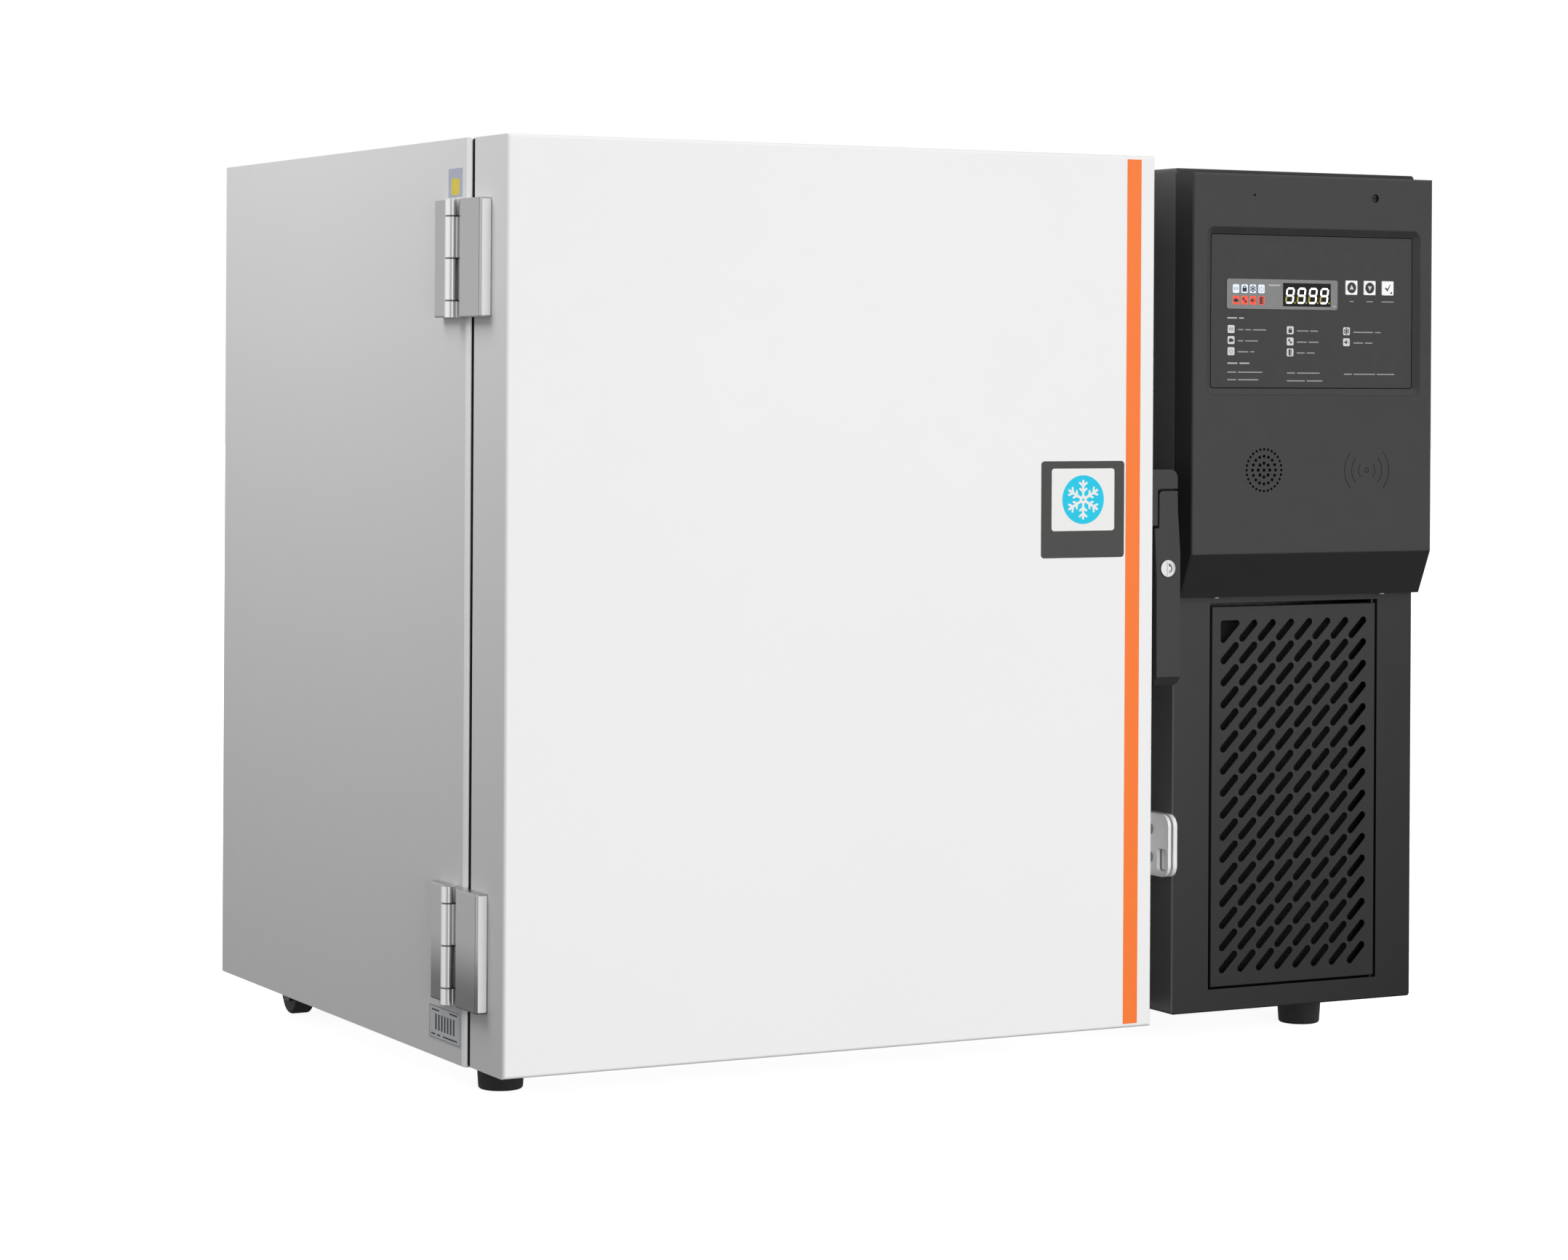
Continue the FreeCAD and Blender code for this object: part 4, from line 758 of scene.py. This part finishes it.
# ------------------------------------------------------------------ generic symbols
def sym_crystal(f, x, z, r, w, w0, w1, slot):
    for k in range(3):
        a = math.radians(90 + 60 * k)
        c, s = math.cos(a) * r, math.sin(a) * r
        f.poly(bar((x - c, z - s), (x + c, z + s), w), w0 + 0.001 * k, w1 + 0.001 * k, slot)
    for k in range(6):
        a = math.radians(90 + 60 * k)
        p = (x + 0.62 * r * math.cos(a), z + 0.62 * r * math.sin(a))
        for t in (-1, 1):
            q = (p[0] + 0.36 * r * math.cos(a + t * 0.95), p[1] + 0.36 * r * math.sin(a + t * 0.95))
            f.poly(bar(p, q, w * 0.8), w0, w1, slot)


def sym_lock(f, x, z, s, w0, w1, slot):
    f.poly(rrect(x, z - 0.22 * s, 1.05 * s, 0.85 * s, 0.1 * s, 3), w0, w1, slot)
    f.poly(arc(x, z + 0.22 * s, 0.32 * s, 0, 180, 0.2 * s, 12), w0, w1, slot)
    for t in (-1, 1):
        f.poly(bar((x + t * 0.32 * s, z + 0.24 * s), (x + t * 0.32 * s, z), 0.2 * s, False), w0, w1, slot)


def sym_power(f, x, z, s, w0, w1, slot):
    f.poly(arc(x, z - 0.05 * s, 0.48 * s, 125, 415, 0.16 * s, 24), w0, w1, slot)
    f.poly(bar((x, z + 0.58 * s), (x, z + 0.02 * s), 0.16 * s), w0, w1, slot)


def sym_battery(f, x, z, s, w0, w1, slot):
    f.poly(rrect(x - 0.05 * s, z - 0.08 * s, 1.25 * s, 0.72 * s, 0.1 * s, 3), w0, w1, slot)
    f.poly(rrect(x + 0.66 * s, z - 0.08 * s, 0.2 * s, 0.34 * s, 0.05 * s, 2), w0, w1, slot)
    f.poly(rrect(x - 0.1 * s, z + 0.36 * s, 0.5 * s, 0.26 * s, 0.06 * s, 2), w0, w1, slot)


def sym_plug(f, x, z, s, w0, w1, slot):
    f.poly(rrect(x - 0.3 * s, z + 0.3 * s, 0.5 * s, 0.55 * s, 0.12 * s, 3), w0, w1, slot)
    f.poly(rrect(x + 0.25 * s, z - 0.28 * s, 0.55 * s, 0.5 * s, 0.2 * s, 3), w0, w1, slot)
    f.poly(bar((x - 0.15 * s, z + 0.1 * s), (x + 0.12 * s, z - 0.12 * s), 0.16 * s), w0, w1, slot)


def sym_speaker(f, x, z, s, w0, w1, slot):
    f.poly([(x - 0.62 * s, z - 0.22 * s), (x - 0.28 * s, z - 0.22 * s), (x + 0.14 * s, z - 0.6 * s), (x + 0.14 * s, z + 0.6 * s),
            (x - 0.28 * s, z + 0.22 * s), (x - 0.62 * s, z + 0.22 * s)], w0, w1, slot)
    f.poly(arc(x + 0.16 * s, z, 0.42 * s, -42, 42, 0.13 * s, 8), w0, w1, slot)


def sym_door(f, x, z, s, w0, w1, slot):
    f.frame(rrect(x, z, 0.95 * s, 1.5 * s, 0.08 * s, 2), rrect(x, z, 0.62 * s, 1.18 * s, 0.05 * s, 2), w0, w1, slot)
    f.poly(rrect(x - 0.06 * s, z, 0.42 * s, 1.2 * s, 0.04 * s, 2), w0, w1, slot)


def sym_link(f, x, z, s, w0, w1, slot):
    for k in (-1, 0, 1):
        f.poly(rrect(x + 0.46 * s * k, z, 0.24 * s, 0.8 * s, 0.08 * s, 2), w0, w1, slot)


f = Flat(on_front(PY - 0.85))
sym_link(f, LX[0], LZW, 4.0, 0.0, 0.04, 1)
sym_lock(f, LX[1], LZW, 4.4, 0.0, 0.04, 0)
sym_crystal(f, LX[2], LZW, 3.1, 0.75, 0.0, 0.04, 0)
sym_power(f, LX[3], LZW, 4.4, 0.0, 0.04, 1)
sym_battery(f, LX[0], LZR, 3.8, 0.035, 0.08, 0)
sym_plug(f, LX[1], LZR, 4.2, 0.035, 0.08, 0)
sym_speaker(f, LX[2], LZR, 4.2, 0.035, 0.08, 0)
sym_door(f, LX[3], LZR, 4.4, 0.035, 0.08, 0)
f.done("lamp_symbols", [m_ink_dark, m_ink_pale], "cabinet")

# ------------------------------------------------------------------ legend: small squares with symbols, plain bars for words
squares = Flat(on_front(PY))
marks = Flat(on_front(PY))
rows = {"link": (741.2, 659.9), "battery": (741.2, 649.8), "power": (741.2, 639.6), "lock": (806.5, 659.4),
        "plug": (806.5, 649.1), "door": (806.5, 639.0), "crystal": (869.7, 659.1), "speaker": (869.7, 648.9)}
for name, (x, z) in rows.items():
    squares.poly(rrect(x, z, 7.5, 7.3, 1.1, 4), 0.0, 0.05, chamfer=0.02)
    if name == "crystal":
        sym_crystal(marks, x, z, 2.9, 0.7, 0.04, 0.09, 0)
    else:
        {"link": sym_link, "battery": sym_battery, "power": sym_power, "lock": sym_lock, "plug": sym_plug, "door": sym_door,
         "speaker": sym_speaker}[name](marks, x, z, 3.7, 0.04, 0.09, 1 if name in ("link", "power") else 0)
squares.done("legend_squares", m_ink, "cabinet")
marks.done("legend_symbols", [m_ink_dark, m_ink_dim], "cabinet")


def word_bars(f, x0, x1, z, h=1.15, words=(0.3, 0.2, 0.5)):
    """a row of plain rounded bars that fills a caption's place"""
    gap = 2.0
    room = (x1 - x0) - gap * (len(words) - 1)
    x = x0
    for share in words:
        w = room * share / sum(words)
        f.poly(rrect(x + w / 2, z, w, h, h * 0.45, 3), 0.0, 0.04)
        x += w + gap


f = Flat(on_front(PY))
word_bars(f, 737.0, 755.1, 670.1, 1.3, (0.6, 0.3))
word_bars(f, 737.2, 761.5, 628.7, 1.3, (0.5, 0.5))
f.done("legend_header_bars", m_ink_pale, "cabinet")
f = Flat(on_front(PY))
for x0, x1, z, w in ((748.4, 779.9, 659.4, (3, 3, 7)), (748.4, 770.9, 649.2, (3, 7)), (748.4, 767.0, 639.2, (5, 2)),
                     (813.9, 837.5, 658.9, (6, 4)), (813.9, 838.4, 648.6, (5, 5)), (813.9, 833.8, 638.6, (4, 4)),
                     (877.6, 908.7, 658.2, (10, 3)), (877.6, 899.2, 648.3, (5, 4)),
                     (737.2, 775.9, 620.5, (4, 11)), (802.9, 839.7, 620.0, (4, 11)), (867.0, 924.5, 619.2, (4, 11, 9)),
                     (737.2, 771.5, 613.6, (4, 9)), (802.9, 842.9, 612.8, (8, 7))):
    word_bars(f, x0, x1, z, 1.1, w)
for x0, x1 in ((873.1, 877.7), (892.2, 899.5), (909.3, 923.2)):
    f.poly(rrect((x0 + x1) / 2, 686.9, x1 - x0, 0.95, 0.4, 3), 0.0, 0.04)
f.done("legend_word_bars", m_ink_dim, "cabinet")

# ------------------------------------------------------------------ key symbols, each on its own key
KX, KZ = (874.6, 895.2, 915.8), 699.6
for x, key, t in ((KX[0], "up", 1), (KX[1], "down", -1)):
    f = Flat(on_front(PY - 1.0))
    f.poly(disc(x, KZ, 5.1, 40), 0.0, 0.05, slot=0)
    f.poly([(x - 2.3, KZ - 1.6 * t), (x + 2.3, KZ - 1.6 * t), (x, KZ + 2.6 * t)][::t], 0.04, 0.09, slot=1)
    f.done(f"key_{key}_symbol", [m_ink_dark, m_ink], f"{key}_key")
f = Flat(on_front(PY - 1.0))
x = KX[2]
f.poly([(x - 3.3, KZ - 0.2), (x - 2.2, KZ + 0.9), (x - 0.7, KZ - 0.8), (x + 2.6, KZ + 3.6), (x + 3.1, KZ + 3.2), (x - 0.5, KZ - 3.2)], 0.0, 0.05)
f.poly([(x + 2.2, KZ - 4.4), (x + 4.6, KZ - 3.0), (x + 4.9, KZ - 5.6)], 0.0, 0.05)
f.done("key_set_symbol", m_ink_dark, "set_key")

# ------------------------------------------------------------------ engraved rings of waves, drawn as dark film: painted shade of the grooves
f = Flat(on_front(43.0))
wx, wz = 890.9, 530.0
f.ring(wx, wz, 1.6, 2.4, 0.0, 0.03)
for r in (9.2, 17.0, 25.0):
    f.poly(arc(wx, wz, r, -43, 43, 0.75, 20), 0.0, 0.03)
    f.poly(arc(wx, wz, r, 137, 223, 0.75, 20), 0.0, 0.03)
f.done("wave_mark", m_wave, "cabinet")

# tongue and contacts inside the data socket
f = Flat(on_right(952.0))
f.poly(rrect(55.9, 530.0, 1.7, 10.8, 0.3, 3), 0.0, 11.0, chamfer=0.4)
f.done("usb_tongue", m_usb_tongue, "cabinet")
f = Flat(on_right(952.0))
for k in range(4):
    f.poly(rrect(54.95, 526.2 + 2.5 * k, 0.3, 1.1, 0.1, 2), 2.0, 10.5)
f.done("usb_contacts", m_copper, "cabinet")


# ------------------------------------------------------------------ door gasket with its real section
def gasket():
    """bellows section swept round the door, mitred at the corners"""
    prof = [(-8.0, 0.0), (-8.0, 0.9), (-7.4, 1.2), (-5.6, 1.25), (-5.9, 1.8), (-6.6, 2.3), (-6.9, 2.8), (-7.2, 3.4), (-7.0, 4.2),
            (-6.3, 4.8), (-5.2, 5.15), (-3.0, 5.2), (-2.4, 4.95), (-1.6, 5.2), (3.6, 5.2), (5.4, 5.1), (6.6, 4.7), (7.2, 4.0),
            (7.2, 3.3), (6.7, 2.7), (6.3, 2.2), (5.7, 1.8), (5.6, 1.25), (7.4, 1.2), (8.0, 0.9), (8.0, 0.0)]
    x0, x1, z0, z1 = 21.0, 607.0, 59.0, 791.0
    bm = bmesh.new()
    corners = ((x0, z0, -1, -1), (x1, z0, 1, -1), (x1, z1, 1, 1), (x0, z1, -1, 1))
    loops = []
    for cx, cz, sx, sz in corners:
        loops.append([bm.verts.new(P(cx + sx * u, 70.5 + w, cz + sz * u)) for u, w in prof])
    for k in range(4):
        a, b = loops[k], loops[(k + 1) % 4]
        for i in range(len(prof)):
            j = (i + 1) % len(prof)
            bm.faces.new((a[i], a[j], b[j], b[i]))
    return finish_mesh("door_gasket_bellows", bm, m_gasket, "main_door", smooth_deg=50)


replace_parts(gasket(), "door_gasket")


# ------------------------------------------------------------------ screws
def screw(bm, place, u, v, r, h, turn, recess_shade_slot=1):
    """pan head; its cross recess is a dark cross that stands just proud of the head, a painted shade of the recess"""
    n = 24
    prof = [(r, 0.0), (r, h * 0.35), (r * 0.93, h * 0.68), (r * 0.75, h * 0.9), (r * 0.5, h)]
    loops = [[bm.verts.new(place(u + rr * math.cos(2 * math.pi * i / n), v + rr * math.sin(2 * math.pi * i / n), w)) for i in range(n)]
             for rr, w in prof]
    bm.faces.new(loops[0][::-1])
    for a, b in zip(loops, loops[1:]):
        for i in range(n):
            j = (i + 1) % n
            bm.faces.new((a[i], a[j], b[j], b[i]))
    bm.faces.new(loops[-1])
    # painted shade: the cross recess drawn as two dark bars
    for k in range(2):
        a = turn + k * math.pi / 2
        c, s = math.cos(a) * r * 0.46, math.sin(a) * r * 0.46
        pts = bar((u - c, v - s), (u + c, v + s), r * 0.24, False)
        lo = [bm.verts.new(place(p, q, h * 0.8)) for p, q in pts]
        hi = [bm.verts.new(place(p, q, h * 1.015 + 0.01 * k)) for p, q in pts]
        fs = [bm.faces.new(lo[::-1]), bm.faces.new(hi)] + [bm.faces.new((lo[i], lo[(i + 1) % 4], hi[(i + 1) % 4], hi[i])) for i in range(4)]
        for g in fs:
            g.material_index = recess_shade_slot


def screws(name, place, points, r, h, material, body):
    bm = bmesh.new()
    for u, v in points:
        screw(bm, place, u, v, r, h, random.uniform(0, math.pi))
    return finish_mesh(name, bm, [material, m_ink_dark], body, smooth_deg=40)


screws("rear_panel_screws", on_back(675.6), [(x, z) for x in (14, 214, 414, 614) for z in (50, 800)] +
       [(x, z) for x in (14, 614) for z in (240, 430, 620)], 3.6, 1.9, m_screw, "cabinet")
screws("machine_rear_screws", on_back(675.6), [(x, z) for x in (707, 955) for z in (52, 240, 430, 660, 796)] +
       [(x, z) for x in (831,) for z in (52, 796)], 3.4, 1.8, m_dark_screw, "cabinet")
screws("machine_side_screws", on_right(965.2), [(y, z) for y in (150, 400, 660) for z in (52, 790)], 3.4, 1.8, m_dark_screw, "cabinet")

# ------------------------------------------------------------------ floor
bm = bmesh.new()
ring = [bm.verts.new(Vector((30 * math.cos(2 * math.pi * i / 64), 30 * math.sin(2 * math.pi * i / 64), -0.0004))) for i in range(64)]
bm.faces.new(ring)
me = bpy.data.meshes.new("studio_floor")
bm.to_mesh(me)
bm.free()
floor = bpy.data.objects.new("studio_floor", me)
bpy.context.scene.collection.objects.link(floor)
m = Mat("studio_floor_paint", (0.80, 0.80, 0.80), rough=0.9, spec=0.0)
m.paint(m.mix(m.span(m.noise(2.0, 3.0), 0.3, 0.7, 0, 1), (0.79, 0.79, 0.79), (0.81, 0.81, 0.81)))
m.b.inputs["Emission Color"].default_value = (1, 1, 1, 1)
m.b.inputs["Emission Strength"].default_value = 0.90
me.materials.append(m.m)
floor.visible_diffuse = False
floor.visible_glossy = False

# ------------------------------------------------------------------ studio light
world = bpy.data.worlds.new("studio")
bpy.context.scene.world = world
world.use_nodes = True
nt = world.node_tree
nt.nodes.clear()


def wn(kind, **props):
    n = nt.nodes.new(kind)
    for k, v in props.items():
        setattr(n, k, v)
    return n


tc = wn("ShaderNodeTexCoord")
sep = wn("ShaderNodeSeparateXYZ")
nt.links.new(tc.outputs["Generated"], sep.inputs[0])
at = wn("ShaderNodeMath", operation="ARCTAN2")
nt.links.new(sep.outputs["Y"], at.inputs[0])
nt.links.new(sep.outputs["X"], at.inputs[1])
turn = wn("ShaderNodeMapRange")
for i, x in enumerate((-math.pi, math.pi, 0.0, 1.0)):
    turn.inputs[i + 1].default_value = x
nt.links.new(at.outputs[0], turn.inputs[0])
TOP = 1.6


def round_light(table, fade):
    """background whose brightness follows the azimuth (degrees from +X, towards +Y) and fades below the horizon"""
    low = wn("ShaderNodeMapRange", interpolation_type="SMOOTHSTEP")
    for i, x in enumerate(fade):
        low.inputs[i + 1].default_value = x
    nt.links.new(sep.outputs["Z"], low.inputs[0])
    ramp = wn("ShaderNodeValToRGB")
    nt.links.new(turn.outputs[0], ramp.inputs[0])
    el = ramp.color_ramp.elements
    el[0].position, el[0].color = 0.0, (table[0][1] / TOP,) * 3 + (1,)
    el[1].position, el[1].color = 1.0, (table[-1][1] / TOP,) * 3 + (1,)
    for a, v in table[1:-1]:
        e = el.new((a + 180.0) / 360.0)
        e.color = (v / TOP,) * 3 + (1,)
    mul = wn("ShaderNodeMath", operation="MULTIPLY")
    nt.links.new(ramp.outputs["Color"], mul.inputs[0])
    nt.links.new(low.outputs[0], mul.inputs[1])
    mul2 = wn("ShaderNodeMath", operation="MULTIPLY")
    nt.links.new(mul.outputs[0], mul2.inputs[0])
    mul2.inputs[1].default_value = TOP
    bg = wn("ShaderNodeBackground")
    bg.inputs["Color"].default_value = (1, 1, 1, 1)
    nt.links.new(mul2.outputs[0], bg.inputs["Strength"])
    return bg


soft_bg = round_light(((-180, 0.25), (-150, 0.36), (-128, 0.32), (-112, 0.52), (-95, 0.95), (-72, 1.12), (-60, 1.00), (-48, 0.72),
                       (-25, 0.60), (0, 0.50), (60, 0.42), (90, 0.48), (112, 0.70), (135, 0.75), (155, 0.40), (180, 0.25)),
                      (-0.30, 0.10, 0.12, 1.0))
shine_bg = round_light(((-180, 1.04), (-150, 1.00), (-146, 0.95), (-140, 0.50), (-125, 0.46), (-114, 0.50), (-108, 1.10),
                        (-90, 1.30), (-60, 1.25), (-25, 1.10), (0, 1.00), (30, 0.62), (60, 0.50), (100, 0.62), (117, 0.72),
                        (135, 0.95), (180, 1.04)), (-0.50, 0.02, 0.22, 1.0))
path = wn("ShaderNodeLightPath")
light_bg = wn("ShaderNodeMixShader")
nt.links.new(path.outputs["Is Glossy Ray"], light_bg.inputs[0])
nt.links.new(soft_bg.outputs[0], light_bg.inputs[1])
nt.links.new(shine_bg.outputs[0], light_bg.inputs[2])
seen_bg = wn("ShaderNodeBackground")
seen_bg.inputs["Color"].default_value = (1, 1, 1, 1)
seen_bg.inputs["Strength"].default_value = 1.0
pick = wn("ShaderNodeMixShader")
nt.links.new(path.outputs["Is Camera Ray"], pick.inputs[0])
nt.links.new(light_bg.outputs[0], pick.inputs[1])
nt.links.new(seen_bg.outputs[0], pick.inputs[2])
wout = wn("ShaderNodeOutputWorld")
nt.links.new(pick.outputs[0], wout.inputs[0])


def area(name, where, towards, size, power, size_y=None):
    d = bpy.data.lights.new(name, "AREA")
    d.energy = power
    d.shape = "RECTANGLE"
    d.size, d.size_y = size, size_y or size
    o = bpy.data.objects.new(name, d)
    bpy.context.scene.collection.objects.link(o)
    o.location = where
    o.rotation_mode = "QUATERNION"
    o.rotation_quaternion = (Vector(towards) - Vector(where)).to_track_quat("-Z", "Y")
    o.visible_camera = False
    o.visible_glossy = False
    return o


area("light_left_high", (-1.35, 0.16, 1.75), (-0.47, 0.12, 0.85), 1.05, 14.0)
area("light_front_right", (1.7, -3.4, 1.5), (0.1, -0.3, 0.8), 1.6, 20.0)
area("light_front_low", (-0.5, -4.4, 0.40), (0.0, -0.3, 0.15), 2.4, 92.0, 0.8)

# ------------------------------------------------------------------ camera
yaw, roll = math.radians(27.648), math.radians(0.328)
fwd = Vector((math.sin(yaw), math.cos(yaw), 0))
rgt0, up0 = Vector((math.cos(yaw), -math.sin(yaw), 0)), Vector((0, 0, 1))
rgt = rgt0 * math.cos(roll) + up0 * math.sin(roll)
up = up0 * math.cos(roll) - rgt0 * math.sin(roll)
cam = bpy.data.cameras.new("camera")
cam.sensor_width = 36.0
cam.lens = 5478.5 * 36.0 / 2156.0
cam.shift_x = 0.0
cam.shift_y = -(1733 / 2 - 513.1) / 2156.0
cam.clip_start, cam.clip_end = 0.05, 200
cam.dof.use_dof = False
camera = bpy.data.objects.new("camera", cam)
bpy.context.scene.collection.objects.link(camera)
camera.matrix_world = Matrix(((rgt.x, up.x, -fwd.x, (-1309.9 - XC) / 1000), (rgt.y, up.y, -fwd.y, (-2988.8 - YC) / 1000),
                              (rgt.z, up.z, -fwd.z, 0.6173), (0, 0, 0, 1)))
bpy.context.scene.camera = camera

view = bpy.context.scene.view_settings
view.view_transform = "Standard"
view.look = "None"
view.exposure = 0.0
view.gamma = 1.0
